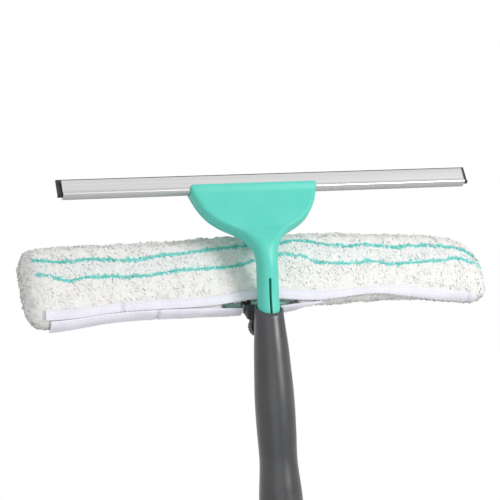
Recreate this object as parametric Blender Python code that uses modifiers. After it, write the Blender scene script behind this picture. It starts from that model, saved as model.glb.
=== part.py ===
"""A telescopic window squeegee with a tilting scrubber behind its neck.

Metres, +Z up the pole, -Y towards the user's view of the blade, origin under the hanging eye.
The head, the blade and the scrubber lean back by one angle from the handle's straight axis.
"""

import math

import bmesh
import bpy
from mathutils import Matrix, Vector

# Shared fits and rounding
GAP = 0.0003
OVERRUN = 0.004
MERGE_DISTANCE = 0.00005
ROUND_STEPS = 32
CORNER_STEPS = 5
LEAN = math.radians(26)

# End cap with its hanging eye
EYE_WIDTH = 0.024
EYE_HEIGHT = 0.021
EYE_THICKNESS = 0.010
EYE_CORNER = 0.006
HANG_HOLE_RADIUS = 0.0055
HANG_HOLE_HEIGHT = 0.0105
CAP_RADIUS = 0.0145
CAP_FLANGE_HEIGHT = 0.004
CAP_PLUG_LENGTH = 0.022

# Pole tubes
OUTER_TUBE_RADIUS = 0.011
INNER_TUBE_RADIUS = 0.0093
TUBE_WALL = 0.0008
OUTER_TUBE_LENGTH = 0.430
SLIDE_TRAVEL = 0.340
LEAST_OVERLAP = 0.050

# Lower grip on the pole
LOWER_GRIP_LENGTH = 0.112
LOWER_GRIP_RADIUS = 0.0145
LOWER_GRIP_RIBS = 9
LOWER_GRIP_GROOVE = 0.0012
LOWER_GRIP_EDGE = 0.0015

# Guide plug on the inner tube
GUIDE_LENGTH = 0.008
GUIDE_STEM_LENGTH = 0.014

# Twist lock
LOCK_BASE_WALL = 0.0013
LOCK_BASE_SHOULDER = 0.0013
LOCK_BASE_SKIRT = 0.009
LOCK_BASE_THREAD = 0.014
LOCK_BASE_LIP = 0.0025
LOCK_RUNNING_GAP = 0.0004
LOCK_COLLAR_LENGTH = 0.042
LOCK_COLLAR_RADIUS = 0.0158
LOCK_COLLAR_TOP_RADIUS = 0.0127
LOCK_COLLAR_FLUTES = 12
LOCK_FLUTE_RADIUS = 0.0022
LOCK_CONE_LENGTH = 0.018
LOCK_CONE_LOW_RADIUS = 0.0116
LOCK_CONE_TOP_RADIUS = 0.0106
LOCK_CONE_SLIT = 0.0012

# Handle grip
GRIP_LENGTH = 0.196
GRIP_RADIUS = 0.0163
GRIP_REST_GAP = 0.004
RIM_SLOPE = math.radians(28)
NECK_BORE_RADIUS = 0.0084
NECK_BORE_DEPTH = 0.056
CORE_BORE_RADIUS = 0.0065
SOCKET_BORE_RADIUS = 0.0116
SOCKET_BORE_DEPTH = 0.084
# Each pair is the depth under the rim and the radius, as shares of the grip's length and radius
GRIP_PROFILE_SHARES = (
    (-0.045, 0.610),
    (0.000, 0.626),
    (0.036, 0.648),
    (0.082, 0.693),
    (0.122, 0.736),
    (0.163, 0.770),
    (0.209, 0.798),
    (0.250, 0.825),
    (0.296, 0.850),
    (0.337, 0.862),
    (0.383, 0.865),
    (0.423, 0.856),
    (0.469, 0.844),
    (0.510, 0.826),
    (0.550, 0.824),
    (0.597, 0.862),
    (0.643, 0.914),
    (0.684, 0.945),
    (0.745, 0.985),
    (0.800, 1.000),
    (0.870, 0.990),
    (0.930, 0.955),
    (0.980, 0.905),
    (1.000, 0.860),
)

# Pole socket and its screw
SOCKET_WALL = 0.0017
SOCKET_FLANGE_RADIUS = 0.0143
SOCKET_FLANGE_HEIGHT = 0.004
SOCKET_LENGTH = 0.066
SOCKET_TUBE_DEPTH = 0.080
SOCKET_SCREW_DEPTH = 0.030
SOCKET_SCREW_RADIUS = 0.00175
SOCKET_SCREW_HEAD_RADIUS = 0.0035
SOCKET_SCREW_HEAD_HEIGHT = 0.002
SOCKET_SCREW_LENGTH = 0.0105
SOCKET_SCREW_SINK = 0.0030

# Rear boss, insert and lock knob
KNOB_DROP = 0.012
BOSS_FACE = 0.014
BOSS_WIDTH = 0.013
BOSS_HEIGHT = 0.016
BOSS_CORNER = 0.003
INSERT_RADIUS = 0.003
INSERT_LENGTH = 0.0044
THREAD_RADIUS = 0.002
THREAD_CLEARANCE = 0.0004
WASHER_RADIUS = 0.0055
WASHER_THICKNESS = 0.001
KNOB_RADIUS = 0.008
KNOB_THICKNESS = 0.009
KNOB_TEETH = 22
KNOB_TOOTH_DEPTH = 0.0008
KNOB_HUB_RADIUS = 0.005
KNOB_HUB_HEIGHT = 0.0015

# Bracket and scrubber hinge
PLATE_THICKNESS = 0.003
PLATE_FOOT_WIDTH = 0.013
PLATE_FOOT_DROP = 0.0078
PLATE_TOP = 0.0035
PLATE_SHOULDER = -0.006
HINGE_HEIGHT = 0.0025
HINGE_BARREL_RADIUS = 0.005
HINGE_SIDE_GAP = 0.0004
KNUCKLE_WIDTH = 0.014
EAR_THICKNESS = 0.004
EAR_TOP = 0.003
PIN_RADIUS = 0.002
PIN_HEAD_RADIUS = 0.0034
PIN_HEAD_THICKNESS = 0.0012

# T-bar, measured in the leaning frame of the hinge
T_BAR_LENGTH = 0.318
T_BAR_THICKNESS = 0.006
T_BAR_LOW = -0.001
T_BAR_ARM_LOW = 0.006
T_BAR_TAPER = 0.003
T_BAR_HIGH = 0.042
T_BAR_HUB_WIDTH = 0.036
T_BAR_HUB_SLOPE = 0.012
T_BAR_CORNER = 0.006
T_BAR_NOTCH = 0.008

# Scrubber sleeve, measured in the leaning frame of the hinge
SLEEVE_LENGTH = 0.350
SLEEVE_SHIFT = 0.0045
SLEEVE_HEIGHT = 0.060
SLEEVE_THICKNESS = 0.0245
SLEEVE_END_ROUND = 0.0115
SLEEVE_TOP_ROUND = 0.020
SLEEVE_LOW_ROUND = 0.014
SLEEVE_STATIONS = 30
SLEEVE_SIDES = 28
SLEEVE_CORNER_POWER = 3
CAVITY_CLEARANCE = 0.0014
STEM_NOTCH_CLEARANCE = 0.0014
STEM_NOTCH_FRONT = -0.0005
STEM_NOTCH_BACK = 0.0065
HINGE_ROOM = 0.0009
# Each row is a place from the middle to an end, then the sleeve's low and high edge there
SLEEVE_EDGE_SHARES = (
    (-1.00, -0.115, 0.842),
    (-0.82, -0.105, 0.865),
    (-0.62, -0.055, 0.888),
    (-0.36, -0.057, 0.908),
    (-0.15, -0.060, 0.938),
    (0.00, -0.060, 0.941),
    (0.16, -0.045, 0.934),
    (0.34, -0.030, 0.927),
    (0.56, -0.022, 0.882),
    (0.78, -0.058, 0.838),
    (0.90, -0.092, 0.775),
    (1.00, -0.118, 0.650),
)

# Mouth of the sleeve: closed lips, parted beside the stem
MOUTH_ANGLE = math.radians(55)
MOUTH_START = 0.003
MOUTH_LENGTH = 0.290
MOUTH_WIDTH = 0.001
MOUTH_PARTED_LENGTH = 0.074
MOUTH_PARTED_WIDTH = 0.007

# Hems along the lips
HEM_THICKNESS = 0.0014
HEM_STEP = 0.010
HEM_STEM_GAP = 0.0008
# Each row is a place from the middle to an end, then a hem's edges as shares of a quarter turn
# from the sleeve's lowest line to its front
FRONT_HEM_SHARES = (
    (-0.92, 0.330, 0.610),
    (-0.84, 0.300, 0.560),
    (-0.73, 0.270, 0.528),
    (-0.50, 0.262, 0.524),
    (-0.38, 0.277, 0.537),
    (-0.24, 0.300, 0.545),
    (-0.09, 0.421, 0.636),
    (0.05, 0.410, 0.632),
    (0.16, 0.294, 0.570),
    (0.26, 0.262, 0.505),
    (0.40, 0.334, 0.532),
    (0.51, 0.320, 0.556),
    (0.61, 0.200, 0.535),
    (0.74, 0.060, 0.437),
    (0.92, 0.000, 0.379),
)
BACK_HEM_SHARES = (
    (-0.86, -0.310, 0.270),
    (-0.63, -0.310, 0.245),
    (-0.38, -0.310, 0.250),
    (-0.23, -0.310, 0.205),
    (-0.10, -0.310, 0.150),
    (0.05, -0.200, 0.150),
    (0.12, -0.100, 0.180),
    (0.18, 0.060, 0.190),
    (0.24, 0.170, 0.215),
)

# Squeegee head, heights are above the collar rim
BEND_HEIGHT = 0.045
BEND_START = 0.004
BEND_END = 0.046
SPIGOT_DEPTH = 0.050
SPIGOT_RADIUS = 0.0080
SPIGOT_TIP_RADIUS = 0.0070
NECK_RADIUS = 0.0077
NECK_WAIST_HEIGHT = 0.034
NECK_HOLLOW_RADIUS = 0.0048
NECK_HOLLOW_TOP = 0.024
NECK_SLIT_WIDTH = 0.0013
NECK_SLIT_TOP = 0.0205
FAN_HALF_WIDTH = 0.0473
FAN_TOP = 0.0876
FAN_THICKNESS = 0.0112
JAW_THICKNESS = 0.0136
JAW_HEIGHT = 0.0808
FAN_FRONT_ROUND = 0.0040
FAN_BACK_ROUND = 0.0018
# Each pair is a height under the jaw's top, as a share of the top's height, and the half width there
FAN_OUTLINE_SHARES = (
    (0.435, 0.173),
    (0.475, 0.194),
    (0.503, 0.220),
    (0.532, 0.254),
    (0.561, 0.290),
    (0.584, 0.326),
    (0.602, 0.365),
    (0.620, 0.412),
    (0.643, 0.497),
    (0.667, 0.583),
    (0.691, 0.657),
    (0.716, 0.720),
    (0.740, 0.774),
    (0.765, 0.815),
    (0.791, 0.853),
    (0.817, 0.885),
    (0.842, 0.911),
    (0.867, 0.936),
    (0.894, 0.956),
    (0.920, 0.975),
    (0.945, 0.991),
    (0.971, 1.000),
    (0.990, 1.000),
    (1.000, 0.982),
)

# Back plate of the head and its screws, in the leaning frame of the bend
PART_DEPTH = -0.0026
PART_START = 0.0150
POCKET_WALL = 0.0025
POCKET_START = 0.0165
POCKET_TOP_HALF_WIDTH = 0.036
POCKET_BOTTOM_HALF_WIDTH = 0.012
POCKET_CORNER = 0.005
HEAD_SCREW_SPACING = 0.044
HEAD_SCREW_HEIGHT = 0.0290
HEAD_SCREW_RADIUS = 0.0015
HEAD_SCREW_HEAD_RADIUS = 0.0030
HEAD_SCREW_HEAD_HEIGHT = 0.0016
HEAD_SCREW_LENGTH = 0.0062
HEAD_SCREW_BOSS_RADIUS = 0.0036
DRIVE_WIDTH = 0.0009
DRIVE_DEPTH = 0.0008

# Blade channel and rubber, in the leaning frame of the bend
CHANNEL_LENGTH = 0.3034
CHANNEL_SHIFT = 0.013
CHANNEL_START = 0.0438
CHANNEL_HEIGHT = 0.0129
CHANNEL_HALF_THICKNESS = 0.0039
RUBBER_LENGTH = 0.310
RUBBER_HALF_THICKNESS = 0.0010
RUBBER_TIP_HALF_THICKNESS = 0.0008
RUBBER_BEAD_HALF_THICKNESS = 0.0021
RUBBER_STAND_OUT = 0.0018
RUBBER_FOOT_SHARE = 0.105
RUBBER_BEAD_TOP_SHARE = 0.245
# Outer side, then inner side: height and half thickness as shares of the channel's own
CHANNEL_OUTER_SHARES = (
    (0.000, 0.62),
    (0.030, 0.80),
    (0.070, 0.94),
    (0.120, 1.000),
    (0.165, 0.985),
    (0.205, 0.900),
    (0.240, 0.800),
    (0.290, 0.780),
    (0.450, 0.820),
    (0.650, 0.870),
    (0.860, 0.905),
    (0.940, 0.880),
    (0.980, 0.790),
    (1.000, 0.660),
)
CHANNEL_INNER_SHARES = (
    (1.000, 0.430),
    (0.970, 0.365),
    (0.910, 0.365),
    (0.860, 0.560),
    (0.600, 0.500),
    (0.380, 0.420),
    (0.330, 0.365),
    (0.285, 0.365),
    (0.255, 0.420),
    (0.235, 0.620),
    (0.110, 0.640),
    (0.085, 0.500),
)

# Places worked out from the sizes above
CAP_TOP = EYE_HEIGHT + CAP_FLANGE_HEIGHT
TUBE_START = CAP_TOP + GAP
OUTER_TUBE_TOP = TUBE_START + OUTER_TUBE_LENGTH
INNER_TUBE_BOTTOM = OUTER_TUBE_TOP - LEAST_OVERLAP - SLIDE_TRAVEL
LOCK_BASE_RADIUS = OUTER_TUBE_RADIUS + GAP + LOCK_BASE_WALL
LOCK_BASE_TOP = OUTER_TUBE_TOP + GAP + LOCK_BASE_LIP
LOCK_SHOULDER_TOP = LOCK_BASE_TOP - LOCK_BASE_THREAD
LOCK_COLLAR_START = LOCK_SHOULDER_TOP + LOCK_RUNNING_GAP
LOCK_COLLAR_TOP = LOCK_COLLAR_START + LOCK_COLLAR_LENGTH
GRIP_START = LOCK_COLLAR_TOP + GRIP_REST_GAP + SOCKET_FLANGE_HEIGHT + GAP
RIM = GRIP_START + GRIP_LENGTH
PLATE_FRONT = BOSS_FACE + GAP
PLATE_BACK = PLATE_FRONT + PLATE_THICKNESS
HINGE_DEPTH = PLATE_BACK + HINGE_SIDE_GAP + HINGE_BARREL_RADIUS
EAR_INSIDE = KNUCKLE_WIDTH / 2 + HINGE_SIDE_GAP
EAR_OUTSIDE = EAR_INSIDE + EAR_THICKNESS
KNOB_HEIGHT = RIM - KNOB_DROP

RIGHT = Vector((1, 0, 0))
BACK = Vector((0, 1, 0))
UP = Vector((0, 0, 1))


def lean_axis(angle):
    """The direction that leans back from +Z by this angle."""
    return Vector((0, math.sin(angle), math.cos(angle)))


def frame_at(origin, first, second):
    """A matrix at origin whose X and Y axes point along first and second."""
    third = first.cross(second)
    matrix = Matrix((first, second, third)).transposed().to_4x4()
    matrix.translation = origin
    return matrix


HEAD_FRAME = frame_at(Vector((0, 0, RIM + BEND_HEIGHT)), RIGHT, lean_axis(LEAN))
HINGE_FRAME = frame_at(Vector((0, HINGE_DEPTH, RIM + HINGE_HEIGHT)), RIGHT, lean_axis(LEAN))
KNOB_FRAME = frame_at(Vector((0, 0, KNOB_HEIGHT)), RIGHT, -UP)


def clear_scene():
    for item in list(bpy.data.objects):
        bpy.data.objects.remove(item, do_unlink=True)


def new_collection(name):
    collection = bpy.data.collections.new(name)
    bpy.context.scene.collection.children.link(collection)
    return collection


def material(name, colour, roughness, metallic=0.0):
    """A Principled material of one colour."""
    made = bpy.data.materials.new(name)
    made.use_nodes = True
    shader = made.node_tree.nodes["Principled BSDF"]
    shader.inputs["Base Color"].default_value = (*colour, 1.0)
    shader.inputs["Roughness"].default_value = roughness
    shader.inputs["Metallic"].default_value = metallic
    return made


def add_object(name, mesh, finish, placement):
    """Puts a mesh in the model's collection, or with no finish in the cutters' one."""
    item = bpy.data.objects.new(name, mesh)
    item.matrix_world = placement
    if finish:
        mesh.materials.append(finish)
        MODEL.objects.link(item)
    else:
        item.hide_render = True
        item.display_type = "WIRE"
        CUTTERS.objects.link(item)
    return item


def smooth(mesh, angle=math.radians(35)):
    mesh.shade_smooth()
    mesh.set_sharp_from_angle(angle=angle)


def from_bmesh(name, shape, finish, placement):
    mesh = bpy.data.meshes.new(name)
    shape.to_mesh(mesh)
    shape.free()
    smooth(mesh)
    return add_object(name, mesh, finish, placement)


def cylinder(name, radius, low, high, finish=None, placement=Matrix.Identity(4), steps=ROUND_STEPS):
    """A cylinder along its own Z axis from low to high."""
    shape = bmesh.new()
    bmesh.ops.create_cone(
        shape, cap_ends=True, segments=steps, radius1=radius, radius2=radius, depth=high - low
    )
    bmesh.ops.translate(shape, verts=shape.verts, vec=UP * (low + high) / 2)
    return from_bmesh(name, shape, finish, placement)


def box(name, low, high, finish=None, placement=Matrix.Identity(4)):
    """A box between two corners of its own frame."""
    shape = bmesh.new()
    bmesh.ops.create_cube(shape, size=1)
    low, high = Vector(low), Vector(high)
    bmesh.ops.scale(shape, verts=shape.verts, vec=high - low)
    bmesh.ops.translate(shape, verts=shape.verts, vec=(low + high) / 2)
    return from_bmesh(name, shape, finish, placement)


def turned(name, profile, finish=None, placement=Matrix.Identity(4), hollow=False):
    """Turns (radius, height) points about Z. They run down the outer side, and then up the inner one."""
    shape = bmesh.new()
    points = [shape.verts.new((radius, 0, height)) for radius, height in profile]
    pairs = list(zip(points, points[1:]))
    if hollow:
        pairs.append((points[-1], points[0]))
    for first, second in pairs:
        shape.edges.new((first, second))
    mesh = bpy.data.meshes.new(name)
    shape.to_mesh(mesh)
    shape.free()
    item = add_object(name, mesh, finish, placement)
    screw = item.modifiers.new("turn", "SCREW")
    screw.steps = screw.render_steps = ROUND_STEPS
    screw.use_merge_vertices = True
    screw.merge_threshold = MERGE_DISTANCE
    screw.use_smooth_shade = True
    return item


def rounded(corners, radius, steps=CORNER_STEPS):
    """The outline through these corners, each cut off by an arc."""
    outline = []
    for index, corner in enumerate(corners):
        here = Vector(corner)
        before = (Vector(corners[index - 1]) - here).normalized()
        after = (Vector(corners[(index + 1) % len(corners)]) - here).normalized()
        half = before.angle(after) / 2
        centre = here + (before + after).normalized() * radius / math.sin(half)
        start = here + before * radius / math.tan(half) - centre
        end = here + after * radius / math.tan(half) - centre
        sweep = start.angle_signed(end)
        for step in range(steps + 1):
            turn = Matrix.Rotation(-sweep * step / steps, 2)
            outline.append(tuple(centre + turn @ start))
    return outline


def slab(name, outline, low, high, finish=None, placement=Matrix.Identity(4)):
    """A flat outline in the XY plane of its frame, from low to high along its Z axis."""
    curve = bpy.data.curves.new(name, "CURVE")
    curve.dimensions = "2D"
    curve.fill_mode = "BOTH"
    curve.extrude = (high - low) / 2
    spline = curve.splines.new("POLY")
    spline.points.add(len(outline) - 1)
    for point, (x, y) in zip(spline.points, outline):
        point.co = (x, y, 0, 1)
    spline.use_cyclic_u = True
    drawn = bpy.data.objects.new(name, curve)
    CUTTERS.objects.link(drawn)
    bpy.context.view_layer.update()
    graph = bpy.context.evaluated_depsgraph_get()
    mesh = bpy.data.meshes.new_from_object(drawn.evaluated_get(graph))
    bpy.data.objects.remove(drawn, do_unlink=True)
    shape = bmesh.new()
    shape.from_mesh(mesh)
    bpy.data.meshes.remove(mesh)
    bmesh.ops.remove_doubles(shape, verts=shape.verts, dist=MERGE_DISTANCE)
    bmesh.ops.translate(shape, verts=shape.verts, vec=UP * (low + high) / 2)
    bmesh.ops.recalc_face_normals(shape, faces=shape.faces)
    return from_bmesh(name, shape, finish, placement)


def loft(name, rings, finish=None, placement=Matrix.Identity(4)):
    """A closed skin through rings that all have as many points."""
    shape = bmesh.new()
    rows = [[shape.verts.new(point) for point in ring] for ring in rings]
    for low, high in zip(rows, rows[1:]):
        for index in range(len(low)):
            shape.faces.new((low[index - 1], low[index], high[index], high[index - 1]))
    shape.faces.new(rows[0])
    shape.faces.new(rows[-1])
    bmesh.ops.recalc_face_normals(shape, faces=shape.faces)
    return from_bmesh(name, shape, finish, placement)


def combine(target, other, operation):
    """Cuts other from target, or joins it to target."""
    modifier = target.modifiers.new(f"{operation.lower()}_{other.name}", "BOOLEAN")
    modifier.operation = operation
    modifier.object = other
    modifier.solver = "EXACT"


def cut(target, *cutters):
    for cutter in cutters:
        combine(target, cutter, "DIFFERENCE")


def join(target, *others):
    for other in others:
        combine(target, other, "UNION")


def rectangle(half_width, low, high):
    return [(-half_width, low), (half_width, low), (half_width, high), (-half_width, high)]


def make_end_cap(finish):
    """A plug with a flange, and a flat eye under it to hang the pole by."""
    bore = OUTER_TUBE_RADIUS - TUBE_WALL - GAP
    cap = turned(
        "end_cap",
        (
            (0, CAP_TOP + CAP_PLUG_LENGTH),
            (bore - LOWER_GRIP_EDGE, CAP_TOP + CAP_PLUG_LENGTH),
            (bore, CAP_TOP + CAP_PLUG_LENGTH - LOWER_GRIP_EDGE),
            (bore, CAP_TOP),
            (CAP_RADIUS, CAP_TOP),
            (CAP_RADIUS, CAP_TOP - CAP_FLANGE_HEIGHT / 2),
            (CAP_RADIUS - LOWER_GRIP_EDGE, CAP_TOP - CAP_FLANGE_HEIGHT),
            (0, CAP_TOP - CAP_FLANGE_HEIGHT),
        ),
        finish,
    )
    upright = frame_at(Vector(), RIGHT, UP)
    eye = slab(
        "end_cap_eye",
        rounded(rectangle(EYE_WIDTH / 2, 0, EYE_HEIGHT + CAP_FLANGE_HEIGHT / 2), EYE_CORNER),
        -EYE_THICKNESS / 2,
        EYE_THICKNESS / 2,
        placement=upright,
    )
    hole = cylinder(
        "end_cap_hole",
        HANG_HOLE_RADIUS,
        -EYE_THICKNESS / 2 - OVERRUN,
        EYE_THICKNESS / 2 + OVERRUN,
        placement=upright @ Matrix.Translation((0, HANG_HOLE_HEIGHT, 0)),
    )
    join(cap, eye)
    cut(cap, hole)


def tube_profile(radius, wall, low, high):
    return ((radius, high), (radius, low), (radius - wall, low), (radius - wall, high))


def make_pole(metal, dark, soft):
    """The two tubes, the guide plug between them and the ribbed lower grip."""
    turned(
        "outer_tube",
        tube_profile(OUTER_TUBE_RADIUS, TUBE_WALL, TUBE_START, OUTER_TUBE_TOP),
        metal,
        hollow=True,
    )
    inner_tube = turned(
        "inner_tube",
        tube_profile(
            INNER_TUBE_RADIUS, TUBE_WALL, INNER_TUBE_BOTTOM, GRIP_START + SOCKET_TUBE_DEPTH
        ),
        metal,
        hollow=True,
    )
    cut(inner_tube, socket_screw_cutter("inner_tube_hole"))
    guide = OUTER_TUBE_RADIUS - TUBE_WALL - GAP
    stem = INNER_TUBE_RADIUS - TUBE_WALL - GAP
    foot = INNER_TUBE_BOTTOM - GAP
    turned(
        "tube_guide",
        (
            (0, foot + GUIDE_STEM_LENGTH),
            (stem, foot + GUIDE_STEM_LENGTH),
            (stem, foot),
            (guide, foot),
            (guide, foot - GUIDE_LENGTH),
            (0, foot - GUIDE_LENGTH),
        ),
        dark,
    )
    bottom = CAP_TOP + GAP
    top = bottom + LOWER_GRIP_LENGTH
    inside = OUTER_TUBE_RADIUS + GAP
    pitch = LOWER_GRIP_LENGTH / (LOWER_GRIP_RIBS + 1)
    profile = [(LOWER_GRIP_RADIUS - LOWER_GRIP_EDGE, top), (LOWER_GRIP_RADIUS, top - LOWER_GRIP_EDGE)]
    for rib in range(1, LOWER_GRIP_RIBS + 1):
        middle = top - rib * pitch
        profile.append((LOWER_GRIP_RADIUS, middle + LOWER_GRIP_GROOVE))
        profile.append((LOWER_GRIP_RADIUS - LOWER_GRIP_GROOVE, middle))
        profile.append((LOWER_GRIP_RADIUS, middle - LOWER_GRIP_GROOVE))
    profile += [
        (LOWER_GRIP_RADIUS, bottom + LOWER_GRIP_EDGE),
        (LOWER_GRIP_RADIUS - LOWER_GRIP_EDGE, bottom),
        (inside, bottom),
        (inside, top),
    ]
    turned("lower_grip", profile, soft, hollow=True)


def make_lock(accent, dark):
    """A base on the outer tube, a fluted collar that twists on it and the split cone that it squeezes."""
    bore = OUTER_TUBE_RADIUS + GAP
    lip = INNER_TUBE_RADIUS + LOCK_RUNNING_GAP
    shoulder = LOCK_BASE_RADIUS + LOCK_BASE_SHOULDER
    bottom = LOCK_SHOULDER_TOP - LOCK_BASE_SKIRT
    turned(
        "lock_base",
        (
            (LOCK_BASE_RADIUS, LOCK_BASE_TOP),
            (LOCK_BASE_RADIUS, LOCK_SHOULDER_TOP),
            (shoulder, LOCK_SHOULDER_TOP),
            (shoulder, bottom + LOCK_BASE_SHOULDER),
            (shoulder - LOCK_BASE_SHOULDER, bottom),
            (bore, bottom),
            (bore, OUTER_TUBE_TOP + GAP),
            (lip, OUTER_TUBE_TOP + GAP),
            (lip, LOCK_BASE_TOP),
        ),
        dark,
        hollow=True,
    )
    thread_bore = LOCK_BASE_RADIUS + LOCK_RUNNING_GAP
    cone_low = LOCK_BASE_TOP + GAP
    cone_top = cone_low + LOCK_CONE_LENGTH
    collar = turned(
        "lock_collar",
        (
            (LOCK_COLLAR_TOP_RADIUS - LOWER_GRIP_EDGE, LOCK_COLLAR_TOP),
            (LOCK_COLLAR_TOP_RADIUS, LOCK_COLLAR_TOP - LOWER_GRIP_EDGE),
            (LOCK_COLLAR_RADIUS, cone_low),
            (LOCK_COLLAR_RADIUS, LOCK_COLLAR_START + LOWER_GRIP_EDGE),
            (LOCK_COLLAR_RADIUS - LOWER_GRIP_EDGE, LOCK_COLLAR_START),
            (thread_bore, LOCK_COLLAR_START),
            (thread_bore, cone_low),
            (LOCK_CONE_LOW_RADIUS + LOCK_RUNNING_GAP, cone_low),
            (LOCK_CONE_TOP_RADIUS + LOCK_RUNNING_GAP, cone_top),
            (LOCK_CONE_TOP_RADIUS + LOCK_RUNNING_GAP, cone_top + LOCK_RUNNING_GAP),
            (lip, cone_top + LOCK_RUNNING_GAP),
            (lip, LOCK_COLLAR_TOP),
        ),
        accent,
        hollow=True,
    )
    for flute in range(LOCK_COLLAR_FLUTES):
        turn = Matrix.Rotation(math.tau * flute / LOCK_COLLAR_FLUTES, 4, "Z")
        groove = cylinder(
            f"lock_flute_{flute}",
            LOCK_FLUTE_RADIUS,
            LOCK_COLLAR_START - OVERRUN,
            cone_low,
            placement=turn @ Matrix.Translation((LOCK_COLLAR_RADIUS + LOCK_FLUTE_RADIUS / 2, 0, 0)),
            steps=ROUND_STEPS // 2,
        )
        cut(collar, groove)
    cone = turned(
        "lock_cone",
        (
            (LOCK_CONE_TOP_RADIUS, cone_top),
            (LOCK_CONE_LOW_RADIUS, cone_low),
            (INNER_TUBE_RADIUS + GAP, cone_low),
            (INNER_TUBE_RADIUS + GAP, cone_top),
        ),
        dark,
        hollow=True,
    )
    slit = box(
        "lock_cone_slit",
        (0, -LOCK_CONE_SLIT / 2, cone_low - OVERRUN),
        (LOCK_CONE_LOW_RADIUS + OVERRUN, LOCK_CONE_SLIT / 2, cone_top + OVERRUN),
    )
    cut(cone, slit)


def screw_frame():
    """The frame of the socket screw: its Z axis points out of the grip's back."""
    return frame_at(Vector((0, 0, GRIP_START + SOCKET_SCREW_DEPTH)), RIGHT, -UP)


def socket_screw_cutter(name):
    return cylinder(name, SOCKET_SCREW_RADIUS + GAP, 0, GRIP_RADIUS + OVERRUN, placement=screw_frame())


def make_grip(finish):
    """The handle: a turned body with an oblique rim, a rear boss and a bore from end to end."""
    outer = [(GRIP_RADIUS * radius, RIM - GRIP_LENGTH * depth) for depth, radius in GRIP_PROFILE_SHARES]
    grip = turned("handle_grip", [(0, outer[0][1]), *outer, (0, outer[-1][1])], finish)
    boss = slab(
        "grip_boss",
        rounded(rectangle(BOSS_WIDTH / 2, -BOSS_HEIGHT / 2, BOSS_HEIGHT / 2), BOSS_CORNER),
        NECK_BORE_RADIUS,
        BOSS_FACE,
        placement=KNOB_FRAME,
    )
    bore = turned(
        "grip_bore",
        (
            (0, RIM + GRIP_LENGTH),
            (NECK_BORE_RADIUS, RIM + GRIP_LENGTH),
            (NECK_BORE_RADIUS, RIM - NECK_BORE_DEPTH),
            (CORE_BORE_RADIUS, RIM - NECK_BORE_DEPTH - NECK_BORE_RADIUS),
            (CORE_BORE_RADIUS, GRIP_START + SOCKET_BORE_DEPTH),
            (SOCKET_BORE_RADIUS, GRIP_START + SOCKET_BORE_DEPTH),
            (SOCKET_BORE_RADIUS, GRIP_START - OVERRUN),
            (0, GRIP_START - OVERRUN),
        ),
    )
    rim_way = Vector((0, math.cos(RIM_SLOPE), math.sin(RIM_SLOPE)))
    rim_cut = box(
        "grip_rim_cut",
        (-GRIP_RADIUS - OVERRUN, -GRIP_RADIUS - OVERRUN, 0),
        (GRIP_RADIUS + OVERRUN, GRIP_RADIUS + OVERRUN, GRIP_RADIUS),
        placement=frame_at(Vector((0, 0, RIM)), RIGHT, rim_way),
    )
    insert_seat = cylinder(
        "grip_insert_seat",
        INSERT_RADIUS + GAP,
        BOSS_FACE - GAP - INSERT_LENGTH,
        BOSS_FACE + OVERRUN,
        placement=KNOB_FRAME,
    )
    sink = cylinder(
        "grip_screw_sink",
        SOCKET_SCREW_HEAD_RADIUS + GAP,
        GRIP_RADIUS - SOCKET_SCREW_SINK,
        GRIP_RADIUS + OVERRUN,
        placement=screw_frame(),
    )
    join(grip, boss)
    cut(grip, bore, rim_cut, insert_seat, socket_screw_cutter("grip_screw_hole"), sink)


def make_socket(finish, metal):
    """The flanged socket that takes the inner tube, and the screw through all three."""
    outside = SOCKET_BORE_RADIUS - GAP
    inside = outside - SOCKET_WALL
    flange_top = GRIP_START - GAP
    socket = turned(
        "pole_socket",
        (
            (outside, GRIP_START + SOCKET_LENGTH),
            (outside, flange_top),
            (SOCKET_FLANGE_RADIUS, flange_top),
            (SOCKET_FLANGE_RADIUS, flange_top - SOCKET_FLANGE_HEIGHT / 2),
            (SOCKET_FLANGE_RADIUS - LOWER_GRIP_EDGE, flange_top - SOCKET_FLANGE_HEIGHT),
            (inside, flange_top - SOCKET_FLANGE_HEIGHT),
            (inside, GRIP_START + SOCKET_LENGTH),
        ),
        finish,
        hollow=True,
    )
    cut(socket, socket_screw_cutter("socket_hole"))
    seat = GRIP_RADIUS - SOCKET_SCREW_SINK + GAP
    make_screw(
        "socket_screw",
        SOCKET_SCREW_RADIUS,
        SOCKET_SCREW_HEAD_RADIUS,
        SOCKET_SCREW_HEAD_HEIGHT,
        SOCKET_SCREW_LENGTH,
        metal,
        screw_frame() @ Matrix.Translation((0, 0, seat)),
    )


def make_screw(name, radius, head_radius, head_height, length, finish, placement):
    """A domed screw whose head starts at its frame's origin, with a cross drive cut into it."""
    screw = turned(
        name,
        (
            (0, head_height),
            (head_radius * 2 / 3, head_height),
            (head_radius, head_height / 2),
            (head_radius, 0),
            (radius, 0),
            (radius, radius - length),
            (0, -length),
        ),
        finish,
        placement,
    )
    reach = head_radius / 2
    for side, (x, y) in enumerate(((reach, DRIVE_WIDTH / 2), (DRIVE_WIDTH / 2, reach))):
        slot = box(
            f"{name}_drive_{side}",
            (-x, -y, head_height - DRIVE_DEPTH),
            (x, y, head_height + DRIVE_DEPTH),
            placement=placement,
        )
        cut(screw, slot)


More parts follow.
